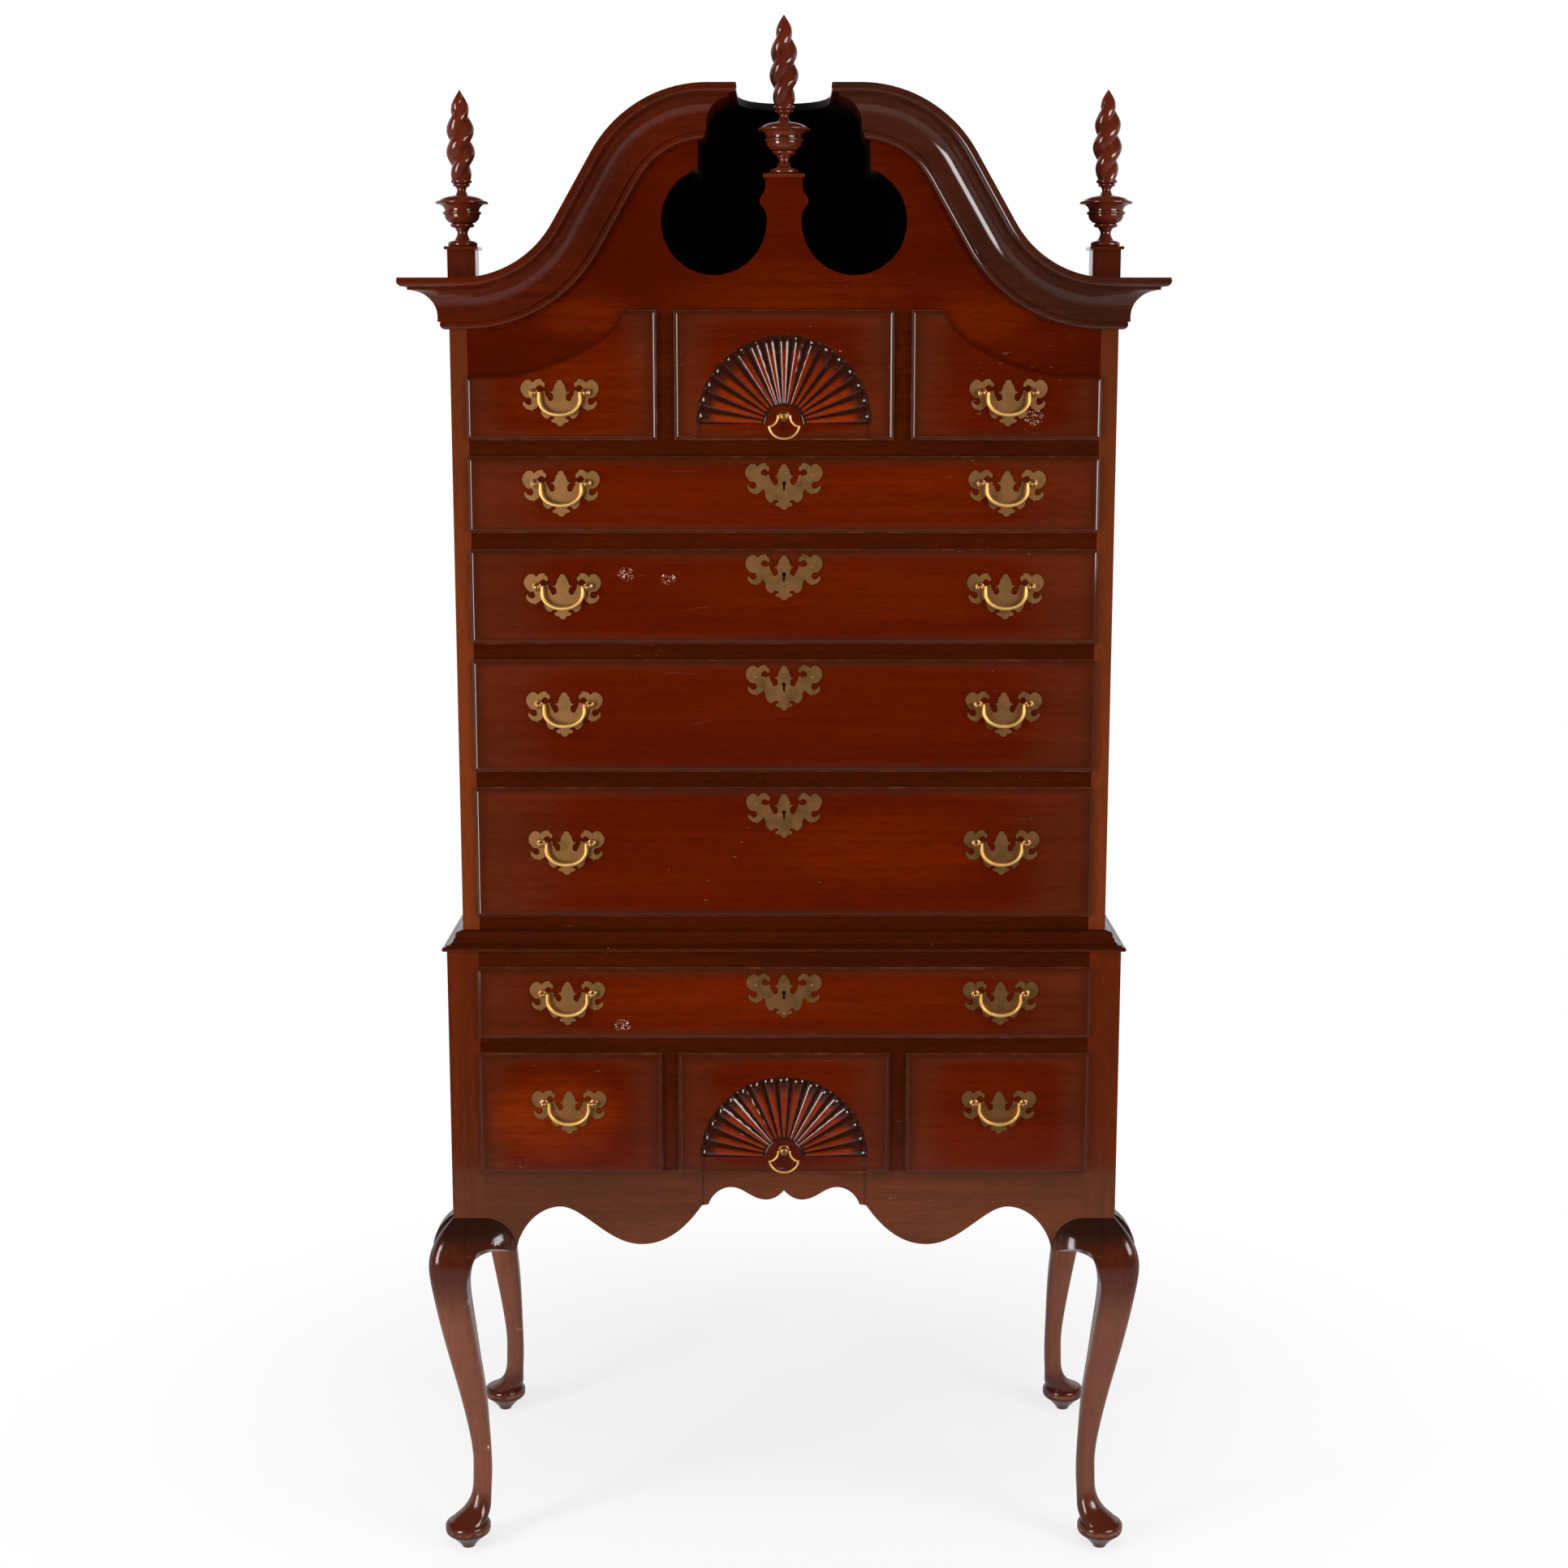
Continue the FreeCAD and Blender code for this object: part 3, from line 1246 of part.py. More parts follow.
def build_long_drawer(name, bottom, height, y, plate_rise, key_drop):
    """A full-width drawer with two bail pulls and a key plate."""
    face = y - lip_proud
    plate_z = bottom + height / 2 + plate_rise
    key_z = bottom + height - key_drop
    front = plain_front(-opening_half, opening_half, bottom, bottom + height, y)
    front = key_cut(front, key_z, face)
    brasses = escutcheon(key_z, face)
    for side, label in ((-1, "left"), (1, "right")):
        front = pull_cut(front, side * plate_spread, plate_z, face)
        brasses += bail_pull(side * plate_spread, plate_z, face)
        save("bail_" + name + "_" + label, bail(side * plate_spread, plate_z, face))
    save("drawer_" + name, *drawer(front, -opening_half, opening_half, bottom, height, y))
    save("brasses_" + name, *brasses)


def build_small_drawer(name, front, x0, x1, bottom, height, y, plate_z, side):
    """A corner drawer with one bail pull; the right one is the left one's mirror image."""
    face = y - lip_proud
    front = pull_cut(front, -plate_spread, plate_z, face)
    wood = drawer(front, x0, x1, bottom, height, y)
    brasses = bail_pull(-plate_spread, plate_z, face)
    handle = bail(-plate_spread, plate_z, face)
    if side > 0:
        wood = [mirror_x(piece) for piece in wood]
        brasses = [mirror_x(piece) for piece in brasses]
        handle = mirror_x(handle)
    save("drawer_" + name, *wood)
    save("brasses_" + name, *brasses)
    save("bail_" + name, handle)


def build_fan_drawer(name, bottom, height, y):
    """A middle drawer carved with the fan, with a drop ring on the fan's hub."""
    face = y - lip_proud
    half = centre_opening_half
    front = plain_front(-half, half, bottom, bottom + height, y)
    level = bottom + height + lip_overlap - fan_top_margin - fan_radius
    front = carve_fan(front, bottom - lip_overlap, level, face)
    pull_z = level + fan_pull_lift
    hub_face = face + fan_hub_depth
    bore = cylinder_y(0, pull_z, shank_radius + shank_clearance, face - 1, face + front_through + 1)
    front = front.cut(bore)
    save("drawer_" + name, *drawer(front, -half, half, bottom, height, y))
    save("brasses_" + name, *ring_rosette(pull_z, hub_face))
    save("ring_" + name, drop_ring(pull_z, hub_face))


def build_drawers():
    shoulder_height = shoulder_rise - shoulder_box_drop
    for name, side in (("top_left", -1), ("top_right", 1)):
        build_small_drawer(name, shaped_front(upper_front), -opening_half, -side_opening_inner,
                           top_row_bottom, shoulder_height, upper_front,
                           top_row_bottom + top_plate_rise, side)
    build_fan_drawer("top_centre", top_row_bottom, top_row_height, upper_front)
    for row, bottom in long_bottoms.items():
        build_long_drawer("upper_" + row, bottom, long_heights[row], upper_front, *brass_places[row])
    build_long_drawer("lower_long", lower_long_bottom, lower_long_height, case_front,
                      *brass_places["lower"])
    for name, side in (("lower_left", -1), ("lower_right", 1)):
        front = plain_front(-opening_half, -side_opening_inner, small_row_bottom,
                            small_row_bottom + small_drawer_height, case_front)
        build_small_drawer(name, front, -opening_half, -side_opening_inner, small_row_bottom,
                           small_drawer_height, case_front, small_row_bottom + lower_plate_rise, side)
    build_fan_drawer("lower_centre", small_row_bottom, small_drawer_height, case_front)


os.makedirs("parts", exist_ok=True)
build_lower_case()
build_upper_case()
build_drawers()
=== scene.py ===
import math

import bpy
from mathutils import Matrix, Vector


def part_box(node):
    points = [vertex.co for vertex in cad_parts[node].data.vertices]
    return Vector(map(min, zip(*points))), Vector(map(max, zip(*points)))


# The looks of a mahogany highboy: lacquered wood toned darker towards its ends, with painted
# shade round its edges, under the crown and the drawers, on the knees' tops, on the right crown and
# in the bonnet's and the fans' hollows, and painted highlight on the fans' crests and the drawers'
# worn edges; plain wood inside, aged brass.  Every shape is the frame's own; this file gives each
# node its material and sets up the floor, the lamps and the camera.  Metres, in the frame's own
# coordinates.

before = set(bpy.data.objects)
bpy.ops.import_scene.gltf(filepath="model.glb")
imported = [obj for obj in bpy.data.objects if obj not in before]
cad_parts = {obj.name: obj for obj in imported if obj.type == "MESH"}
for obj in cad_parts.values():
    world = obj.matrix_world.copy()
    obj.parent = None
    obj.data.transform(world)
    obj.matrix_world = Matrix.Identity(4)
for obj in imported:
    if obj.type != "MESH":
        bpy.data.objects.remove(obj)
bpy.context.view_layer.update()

# ------------------------------------------------------------------ sizes taken from the object
lip_proud = 0.008
front_inside_thickness = 0.016
front_through = lip_proud + front_inside_thickness
fan_radius = 0.1215
fan_top_margin = 0.034
fan_hub_radius = 0.0285
fan_lobes = 17
knee_top = 0.5165
apron_top = 0.589

# ------------------------------------------------------------------ colours
white = (1.0, 1.0, 1.0)
floor_pale = (0.88, 0.88, 0.88)

# drawer fronts: the glowing middle, the body, the toned ends, the dark rim that is painted shade,
# and the fans with painted shade in their hollow and painted highlight on their crests
glow = (0.190, 0.0210, 0.0008)
body_red = (0.083, 0.0064, 0.0002)
toned = (0.086, 0.0135, 0.0040)
rim_shade = (0.034, 0.0066, 0.0022)
fan_hollow_shade = (0.021, 0.0062, 0.0034)
ray_crest_highlight = (0.200, 0.0200, 0.0015)

# the case, each with the darker wood of its figure; the right crown's pair and the knee's top dark
# are painted shade
rail_red = (0.054, 0.0066, 0.0008)
rail_dark = (0.026, 0.0042, 0.0008)
apron_red = (0.108, 0.0250, 0.0072)
apron_dark = (0.054, 0.0150, 0.0060)
stile_red = (0.142, 0.0265, 0.0062)
stile_dark = (0.084, 0.0170, 0.0050)
post_red = (0.104, 0.0130, 0.0012)
post_dark = (0.052, 0.0084, 0.0014)
crown_red = (0.094, 0.0098, 0.0018)
crown_dark = (0.036, 0.0052, 0.0014)
# the right crown's darker, browner copy of the crown colour: painted shade
crown_shaded_side = (0.062, 0.0130, 0.0058)
crown_shaded_side_dark = (0.024, 0.0066, 0.0036)
leg_red = (0.190, 0.0560, 0.0270)
leg_dark = (0.122, 0.0370, 0.0195)
knee_red = (0.070, 0.0120, 0.0036)
# near black for the knee's top: painted shade
knee_top_shade = (0.018, 0.0052, 0.0028)
turned_red = (0.118, 0.0165, 0.0056)
turned_dark = (0.060, 0.0102, 0.0044)

# wear (on the drawers' edges also a painted highlight), the wood that isn't lacquered, and the
# bonnet's painted shade
wear_and_highlight_wood = (0.28, 0.100, 0.042)
scuff_pale = (0.86, 0.70, 0.60)
poplar = (0.50, 0.34, 0.18)
poplar_dark = (0.36, 0.22, 0.11)
back_stain = (0.16, 0.075, 0.036)
back_dark = (0.075, 0.033, 0.017)
roof_stain = (0.060, 0.024, 0.013)
# near black: painted shade for the bonnet's hollow
hollow_shade_black = (0.0022, 0.0014, 0.0011)

plate_brass = (0.43, 0.225, 0.074)
plate_tarnish = (0.31, 0.125, 0.050)
bail_brass = (0.86, 0.53, 0.17)
bail_tarnish = (0.56, 0.30, 0.09)

# ------------------------------------------------------------------ grain, finish and wear
# the grain's layers: noise scale along the grain and across it
band_scales = (0.9, 11.0)
streak_scales = (3.5, 110.0)
fleck_scales = (42.0, 300.0)
pore_scales = (34.0, 760.0)
pore_limits = (0.56, 0.70)
band_share = 0.4
streak_share = 0.6
figure_limits = (0.32, 0.70)
pore_share = 0.35
pore_shade = 0.35

# lacquer: its surface waves, sinks into the pores and rises a little on the streaks
coat_weight = 0.9
smooth_coat = 0.08
pore_depth = -0.03
streak_rise = 0.015
lacquered_roughness = (0.44, 0.58)
lacquer_bump = (0.3, 0.0016)

# boards that aren't lacquered
planed_roughness = (0.58, 0.74)
planed_bump = (0.25, 0.0008)
stained_bump = (0.2, 0.0008)
stained_specular = 0.2

brass_bump = (0.16, 0.0006)

# scratches show where their noise passes these limits
scuff_limits = (0.600, 0.625)
scratch_limits = (0.735, 0.775)
scratched_patches = (0.50, 0.62)
scratch_share = 0.22

# a change of colour at an edge of the object is this narrow
crisp = 0.0004

# toning of a drawer front: how far it reaches in from the ends and from the top and bottom; then
# the painted shade round its rim, and its edge line that is wear and a painted highlight
end_toning = 0.20
end_toning_share = 0.36
level_toning = 0.026
rim_wide = 0.030
rim_high = 0.016
rim_least = 0.35
wear_and_highlight_edge = 0.0034
chip_limits = (0.46, 0.66)
chip_shares = (0.10, 0.34)

# fans: distances from the hub's middle, and how far from its middle a crest's painted highlight
# fades (a ray is 1 wide)
fan_rim = (fan_radius - 0.0005, fan_radius + 0.0003)
rays_start = (fan_hub_radius - 0.0055, fan_hub_radius - 0.002)
crests_start = (fan_hub_radius + 0.001, fan_hub_radius + 0.004)
crests_end = (fan_radius - 0.030, fan_radius - 0.012)
crest_width = (0.16, 0.33)
ray_shade = 0.85

# legs: heights between which one colour goes over to the next
post_fade = (apron_top - 0.012, apron_top + 0.012)
knee_top_shade_fade = (knee_top - 0.050, knee_top - 0.014)
knee_fade = (knee_top - 0.170, knee_top - 0.075)
pad_fade = (0.056, 0.094)
pad_share = 0.94
rub_starts = (0.0275, 0.0295)
rub_ends = (0.0315, 0.0345)
rub_share = 0.55
right_leg_shade = 0.35
rubbed_coat = 0.15

# sides of the upper case: how deep their front edges' colour goes, and its fade to the flank's
flank_setback = 0.006
flank_fade = 0.04


# ------------------------------------------------------------------ building materials
def darker(colour, share):
    return tuple(part * share for part in colour)


class Graph:
    """Short ways to add and join the nodes of one material, or of the world."""

    def __init__(self, owner, output="ShaderNodeOutputMaterial", place="Object"):
        self.owner = owner
        owner.use_nodes = True
        tree = owner.node_tree
        self.nodes = tree.nodes
        self.links = tree.links
        self.nodes.clear()
        self.output = self.add(output)
        self.place = self.add("ShaderNodeTexCoord").outputs[place]
        self.x, self.y, self.z = self.parts(self.place)

    def add(self, kind):
        return self.nodes.new(kind)

    def join(self, source, target):
        """Link a socket to another, or set a plain value on it."""
        if hasattr(source, "is_output"):
            self.links.new(source, target)
        else:
            target.default_value = source

    def join_all(self, sources, targets):
        for source, target in zip(sources, targets):
            self.join(source, target)

    def parts(self, vector):
        node = self.add("ShaderNodeSeparateXYZ")
        self.join(vector, node.inputs[0])
        return node.outputs

    def math(self, operation, *values):
        node = self.add("ShaderNodeMath")
        node.operation = operation
        self.join_all(values, node.inputs)
        return node.outputs[0]

    def times(self, value, *factors):
        for factor in factors:
            value = self.math("MULTIPLY", value, factor)
        return value

    def plus(self, a, b):
        return self.math("ADD", a, b)

    def less(self, a, b):
        return self.math("SUBTRACT", a, b)

    def squares(self, a, b):
        return self.plus(self.times(a, a), self.times(b, b))

    def fade(self, value, low, high, start=0.0, end=1.0):
        """A smooth step from start, at low, to end, at high."""
        node = self.add("ShaderNodeMapRange")
        node.interpolation_type = "SMOOTHSTEP"
        self.join_all((value, low, high, start, end), node.inputs)
        return node.outputs[0]

    def colour(self, a, b, share):
        """Colour a, going over to colour b as share rises to 1."""
        node = self.add("ShaderNodeMix")
        node.data_type = "RGBA"
        self.join(share, node.inputs["Factor"])
        for value, socket in ((a, node.inputs[6]), (b, node.inputs[7])):
            self.join(value if hasattr(value, "is_output") else (*value, 1.0), socket)
        return node.outputs[2]

    def noise(self, scales, detail=3.0, roughness=0.55, distortion=0.0, shift=(0.0, 0.0, 0.0)):
        """Noise stretched by a scale along each axis, as a value round 0.5."""
        mapping = self.add("ShaderNodeMapping")
        self.join(self.place, mapping.inputs["Vector"])
        mapping.inputs["Scale"].default_value = scales
        mapping.inputs["Location"].default_value = shift
        node = self.add("ShaderNodeTexNoise")
        self.join(mapping.outputs[0], node.inputs["Vector"])
        node.inputs["Scale"].default_value = 1.0
        node.inputs["Detail"].default_value = detail
        node.inputs["Roughness"].default_value = roughness
        node.inputs["Distortion"].default_value = distortion
        return node.outputs["Fac"]

    def spot(self, x, z, wide, high):
        """1 in the middle of a soft oval in the front plane, falling to 0 at its rim."""
        across = self.math("DIVIDE", self.less(self.x, x), wide)
        up = self.math("DIVIDE", self.less(self.z, z), high)
        return self.fade(self.squares(across, up), 0.0, 1.0, 1.0, 0.0)

    def bump(self, height, strength, distance):
        node = self.add("ShaderNodeBump")
        node.inputs["Strength"].default_value = strength
        node.inputs["Distance"].default_value = distance
        self.join(height, node.inputs["Height"])
        return node.outputs["Normal"]

    def shine(self, kind, strength):
        """White light from a node of the given kind, Emission or Background."""
        node = self.add(kind)
        node.inputs["Color"].default_value = (*white, 1.0)
        self.join(strength, node.inputs["Strength"])
        return node.outputs[0]

    def blend(self, share, a, b):
        """Shader a, going over to shader b as share rises to 1."""
        node = self.add("ShaderNodeMixShader")
        self.join_all((share, a, b), node.inputs)
        return node.outputs[0]

    def finish(self, colour, roughness, normal, metallic=0.0, coat=0.0, coat_roughness=0.1,
               specular=0.5):
        """Close the graph with its shader, and give back the material."""
        shader = self.add("ShaderNodeBsdfPrincipled")
        shader.inputs["Specular IOR Level"].default_value = specular
        self.join(colour, shader.inputs["Base Color"])
        self.join(roughness, shader.inputs["Roughness"])
        shader.inputs["Metallic"].default_value = metallic
        self.join(coat, shader.inputs["Coat Weight"])
        shader.inputs["Coat Roughness"].default_value = coat_roughness
        self.join(normal, shader.inputs["Normal"])
        self.join(shader.outputs[0], self.output.inputs["Surface"])
        return self.owner


def new_graph(name):
    return Graph(bpy.data.materials.new(name))


def along(axis, lengthwise, across):
    """Scales of a grain that runs along one axis."""
    return tuple(lengthwise if name == axis else across for name in "xyz")


def grain(g, axis, shift):
    """The grain's three layers: broad bands, fine streaks and pores, each round 0 to 1."""
    bands = g.noise(along(axis, *band_scales), roughness=0.5, distortion=0.6, shift=shift)
    streaks = g.noise(along(axis, *streak_scales), distortion=0.15, shift=shift)
    flecks = g.noise(along(axis, *fleck_scales), roughness=0.6, distortion=0.3, shift=shift)
    streaks = g.plus(g.times(streaks, 0.5), g.times(flecks, 0.5))
    pores = g.noise(along(axis, *pore_scales), detail=2.0, roughness=0.5, shift=shift)
    return bands, streaks, g.fade(pores, *pore_limits)


def plain_grain(g, axis, shift, pore_strength):
    """The grain of a wood whose pores hardly show."""
    bands, streaks, pores = grain(g, axis, shift)
    return bands, streaks, g.times(pores, pore_strength)


def grained(g, light, dark, bands, streaks, pores):
    """A wood colour between light and dark by its grain, with dark pores."""
    figure = g.plus(g.times(bands, band_share), g.times(streaks, streak_share))
    wood = g.colour(light, dark, g.fade(figure, *figure_limits))
    return g.colour(wood, darker(dark, pore_shade), g.times(pores, pore_share))


def lacquer(g, wood, streaks, pores, coat=coat_weight, coat_roughness=smooth_coat):
    """Lacquer over wood: a soft base under a clear coat, wavy over the pores."""
    waves = g.noise((5.0, 5.0, 7.0), detail=2.0, roughness=0.5)
    height = g.plus(waves, g.times(pores, pore_depth))
    height = g.plus(height, g.times(streaks, streak_rise))
    normal = g.bump(height, *lacquer_bump)
    handling = g.noise((9.0, 9.0, 14.0), detail=4.0, roughness=0.6)
    rough = g.fade(handling, 0.3, 0.75, *lacquered_roughness)
    return g.finish(wood, rough, normal, coat=coat, coat_roughness=coat_roughness, specular=0.0)


def from_edges(g, box, wide, high):
    """1 well inside a box seen from the front, falling to 0 at its edges."""
    low, top = box
    left = g.less(g.x, low[0])
    right = g.less(top[0], g.x)
    under = g.less(g.z, low[2])
    over = g.less(top[2], g.z)
    across = g.fade(g.math("MINIMUM", left, right), 0.0, wide)
    up = g.fade(g.math("MINIMUM", under, over), 0.0, high)
    return g.times(across, up)


def scuffed(g, wood, marks):
    """Small pale scratches crowded round each given mark (x, z, size)."""
    lines = g.fade(g.noise((150.0, 40.0, 190.0), roughness=0.6, distortion=3.5), *scuff_limits)
    for x, z, size in marks:
        near = g.fade(g.spot(x, z, size, size * 0.8), 0.02, 0.35)
        wood = g.colour(wood, scuff_pale, g.times(near, lines))
    return wood


def fine_scratches(g, wood):
    """Sparse hairline scratches and rubs over the whole face."""
    lines = g.noise((70.0, 20.0, 520.0), detail=2.0, roughness=0.5, distortion=1.2,
                    shift=(3.1, 0.0, 1.7))
    patches = g.noise((7.0, 7.0, 9.0), detail=2.0, roughness=0.5, shift=(8.0, 2.0, 5.0))
    share = g.times(g.fade(lines, *scratch_limits), g.fade(patches, *scratched_patches))
    return g.colour(wood, scuff_pale, g.times(share, scratch_share))


def fan_places(g, box):
    """For a fan drawer: 1 on the carved rays outside the hub, and 1 along the rays' crests."""
    level = box[1][2] - fan_top_margin - fan_radius
    up = g.less(g.z, level)
    far = g.math("SQRT", g.squares(g.x, up))
    carved = g.times(g.fade(far, *fan_rim, 1.0, 0.0), g.fade(up, -crisp, crisp))
    on_rays = g.times(carved, g.fade(far, *rays_start))
    turn = g.times(g.math("ARCTAN2", up, g.x), fan_lobes / math.pi)
    from_middle = g.math("ABSOLUTE", g.less(g.math("FRACT", turn), 0.5))
    crest = g.times(g.fade(from_middle, *crest_width, 1.0, 0.0),
                    g.fade(far, *crests_end, 1.0, 0.0), g.fade(far, *crests_start))
    return on_rays, g.times(on_rays, crest)


# ------------------------------------------------------------------ the materials
def drawer_wood(name, glow_spots, marks):
    """A drawer: its front lacquered, toned dark towards its ends and with painted shade round its
    edges, its box plain inside.
    """
    g = new_graph("drawer_wood_" + name)
    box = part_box("drawer_" + name)
    low, top = box
    # each drawer shows another piece of the grain
    shift = (low[0] * 3.0, 0.0, low[2] * 7.0)
    figure = grain(g, "x", shift)
    streaks, pores = figure[1:]

    middle = from_edges(g, box, min(end_toning, (top[0] - low[0]) * end_toning_share), level_toning)
    cloud = g.noise((2.6, 2.6, 9.0), distortion=0.5, shift=shift)
    middle = g.times(middle, g.fade(cloud, 0.25, 0.62, start=0.62))
    body = grained(g, body_red, darker(body_red, 0.62), *figure)
    ends = grained(g, toned, darker(toned, 0.60), *figure)
    wood = g.colour(ends, body, g.fade(middle, 0.0, 0.7))
    bright = grained(g, glow, body_red, *figure)
    for x, z, wide, high, share in glow_spots:
        wood = g.colour(wood, bright, g.times(g.spot(x, z, wide, high), share))

    if name.endswith("centre"):
        on_rays, crest = fan_places(g, box)
        # painted shade over the carved rays, and painted highlight along their crests
        wood = g.colour(wood, fan_hollow_shade, g.times(on_rays, ray_shade))
        wood = g.colour(wood, grained(g, ray_crest_highlight, body_red, *figure), crest)

    # painted shade: the front darkens towards its edges and lip
    rim = from_edges(g, box, rim_wide, rim_high)
    wood = g.colour(rim_shade, wood, g.fade(rim, 0.0, 1.0, start=rim_least))
    # a lighter, chipped line along the front's edges: wear, and a painted highlight on the lip
    edge = g.less(1.0, from_edges(g, box, wear_and_highlight_edge, wear_and_highlight_edge))
    chips = g.noise((30.0, 30.0, 30.0), detail=5.0, roughness=0.7, shift=shift)
    wood = g.colour(wood, wear_and_highlight_wood, g.times(edge, g.fade(chips, *chip_limits, *chip_shares)))
    wood = scuffed(g, fine_scratches(g, wood), marks)

    plain = grained(g, poplar, poplar_dark, *plain_grain(g, "y", shift, 0.3))
    inner_face = low[1] + front_through
    inside = g.fade(g.y, inner_face - 0.0006, inner_face + 0.0002)
    coat = g.times(g.less(1.0, inside), coat_weight)
    return lacquer(g, g.colour(wood, plain, inside), streaks, pores, coat)


def case_wood(name, axis, light, dark, painted_shade_spots=(), glow_spots=(), coat=coat_weight,
              coat_roughness=smooth_coat, behind=None):
    """Lacquered wood of the case, its spots on both sides of the middle, the dark ones painted
    shade;
    behind gives a depth and the two colours used past it."""
    g = new_graph(name)
    figure = grain(g, axis, (1.7, 0.4, 2.9))
    streaks, pores = figure[1:]
    wood = grained(g, light, dark, *figure)
    cloud = g.noise((5.0, 5.0, 5.0), roughness=0.5)
    wood = g.colour(wood, dark, g.fade(cloud, 0.48, 0.75, end=0.6))
    spots = [(spot, grained(g, glow, body_red, *figure)) for spot in glow_spots]
    # the dark spots are painted shade
    spots += [(spot, dark) for spot in painted_shade_spots]
    for (x, z, wide, high, share), tone in spots:
        for side in (-1, 1):
            wood = g.colour(wood, tone, g.times(g.spot(side * x, z, wide, high), share))
    if behind:
        start, light, dark = behind
        past = g.fade(g.y, start, start + flank_fade)
        wood = g.colour(wood, grained(g, light, dark, *figure), past)
    return lacquer(g, fine_scratches(g, wood), streaks, pores, coat, coat_roughness)


def leg_wood():
    """Legs: post and apron colours above the knee, a dark knee with painted shade on its top, a
    browner shank, rubbed pads; the right legs a share darker, painted shade.
    """
    g = new_graph("leg_wood")
    figure = grain(g, "z", (0.3, 0.9, 0.2))
    streaks, pores = figure[1:]
    wood = grained(g, leg_red, leg_dark, *figure)
    knee = grained(g, knee_red, darker(knee_red, 0.5), *figure)
    shaded = darker(leg_dark, 0.45)
    wood = g.colour(wood, shaded, g.fade(g.x, -0.02, 0.02, end=right_leg_shade))
    wood = g.colour(wood, knee, g.fade(g.z, *knee_fade))
    # painted shade: the knee's upward-facing top turns near black
    wood = g.colour(wood, knee_top_shade, g.fade(g.z, *knee_top_shade_fade))
    above = g.fade(g.z, knee_top - crisp, knee_top + crisp)
    wood = g.colour(wood, grained(g, apron_red, apron_dark, *figure), above)
    post = grained(g, post_red, post_dark, *figure)
    wood = g.colour(wood, post, g.fade(g.z, *post_fade))
    wood = g.colour(wood, turned_dark, g.fade(g.z, *pad_fade, pad_share, 0.0))
    rim = g.less(g.fade(g.z, *rub_starts), g.fade(g.z, *rub_ends))
    chips = g.fade(g.noise((60.0, 60.0, 160.0), detail=4.0, roughness=0.65), 0.44, 0.58)
    wood = g.colour(wood, wear_and_highlight_wood, g.times(rim, chips, rub_share))
    marks = [(-0.417, 0.488, 0.009), (-0.461, 0.395, 0.008), (-0.443, 0.150, 0.006)]
    return lacquer(g, scuffed(g, wood, marks), streaks, pores, coat_roughness=rubbed_coat)


def plain_wood(name, axis, light, dark):
    """Unpolished wood with a planed surface."""
    g = new_graph(name)
    figure = plain_grain(g, axis, (0.5, 2.2, 1.1), 0.4)
    bands, streaks = figure[:2]
    wood = grained(g, light, dark, *figure)
    dirt = g.fade(g.noise((3.0, 3.0, 3.0), detail=4.0, roughness=0.6), 0.45, 0.75)
    wood = g.colour(wood, dark, g.times(dirt, 0.6))
    rough = g.fade(bands, 0.3, 0.7, *planed_roughness)
    return g.finish(wood, rough, g.bump(streaks, *planed_bump))


def stained_with_hollow_shade(name, outside_from):
    """A board near black towards the bonnet's hollow, which is painted shade, and plain stained on
    its outer side.
    """
    g = new_graph(name)
    bands, streaks, pores = grain(g, "x", (0.9, 0.2, 0.6))
    outer = grained(g, back_stain, back_dark, bands, streaks, pores)
    wood = g.colour(hollow_shade_black, outer, g.fade(g.y, outside_from - 0.0006, outside_from - 0.0002))
    return g.finish(wood, 0.7, g.bump(streaks, *stained_bump), specular=stained_specular)


def roof_wood():
    """The bonnet's thin boards: dark stain outside, near black underneath, which is painted shade.
    """
    g = new_graph("roof_wood")
    bands, streaks, pores = grain(g, "y", (0.4, 1.2, 0.8))
    outer = grained(g, roof_stain, darker(roof_stain, 0.55), bands, streaks, pores)
    facing = g.parts(g.add("ShaderNodeNewGeometry").outputs["True Normal"])
    # faces that look down into the bonnet get the near black of painted shade
    wood = g.colour(hollow_shade_black, outer, g.fade(facing[2], 0.02, 0.06))
    return g.finish(wood, 0.62, g.bump(streaks, *stained_bump), specular=stained_specular)


def brass(name, clean, tarnish, roughness, tarnish_amount):
    """Aged brass: cloudy tarnish, fine wire-brush marks and small dents."""
    g = new_graph(name)
    clouds = g.noise((46.0, 46.0, 46.0), detail=5.0, roughness=0.62)
    specks = g.noise((420.0, 420.0, 420.0), roughness=0.6)
    brushed = g.noise((900.0, 900.0, 90.0), detail=2.0, roughness=0.5)
    metal = g.colour(clean, tarnish, g.fade(clouds, 0.36, 0.66, end=tarnish_amount))
    metal = g.colour(metal, tarnish, g.fade(specks, 0.58, 0.68, end=0.5))
    rough = g.fade(clouds, 0.3, 0.7, roughness, roughness + 0.14)
    height = g.plus(clouds, g.times(brushed, 0.3))
    return g.finish(metal, rough, g.bump(height, *brass_bump), metallic=1.0)


def give(material, *names):
    """Put a material in every slot of the named nodes."""
    for name in names:
        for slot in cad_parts[name].material_slots:
            slot.material = material


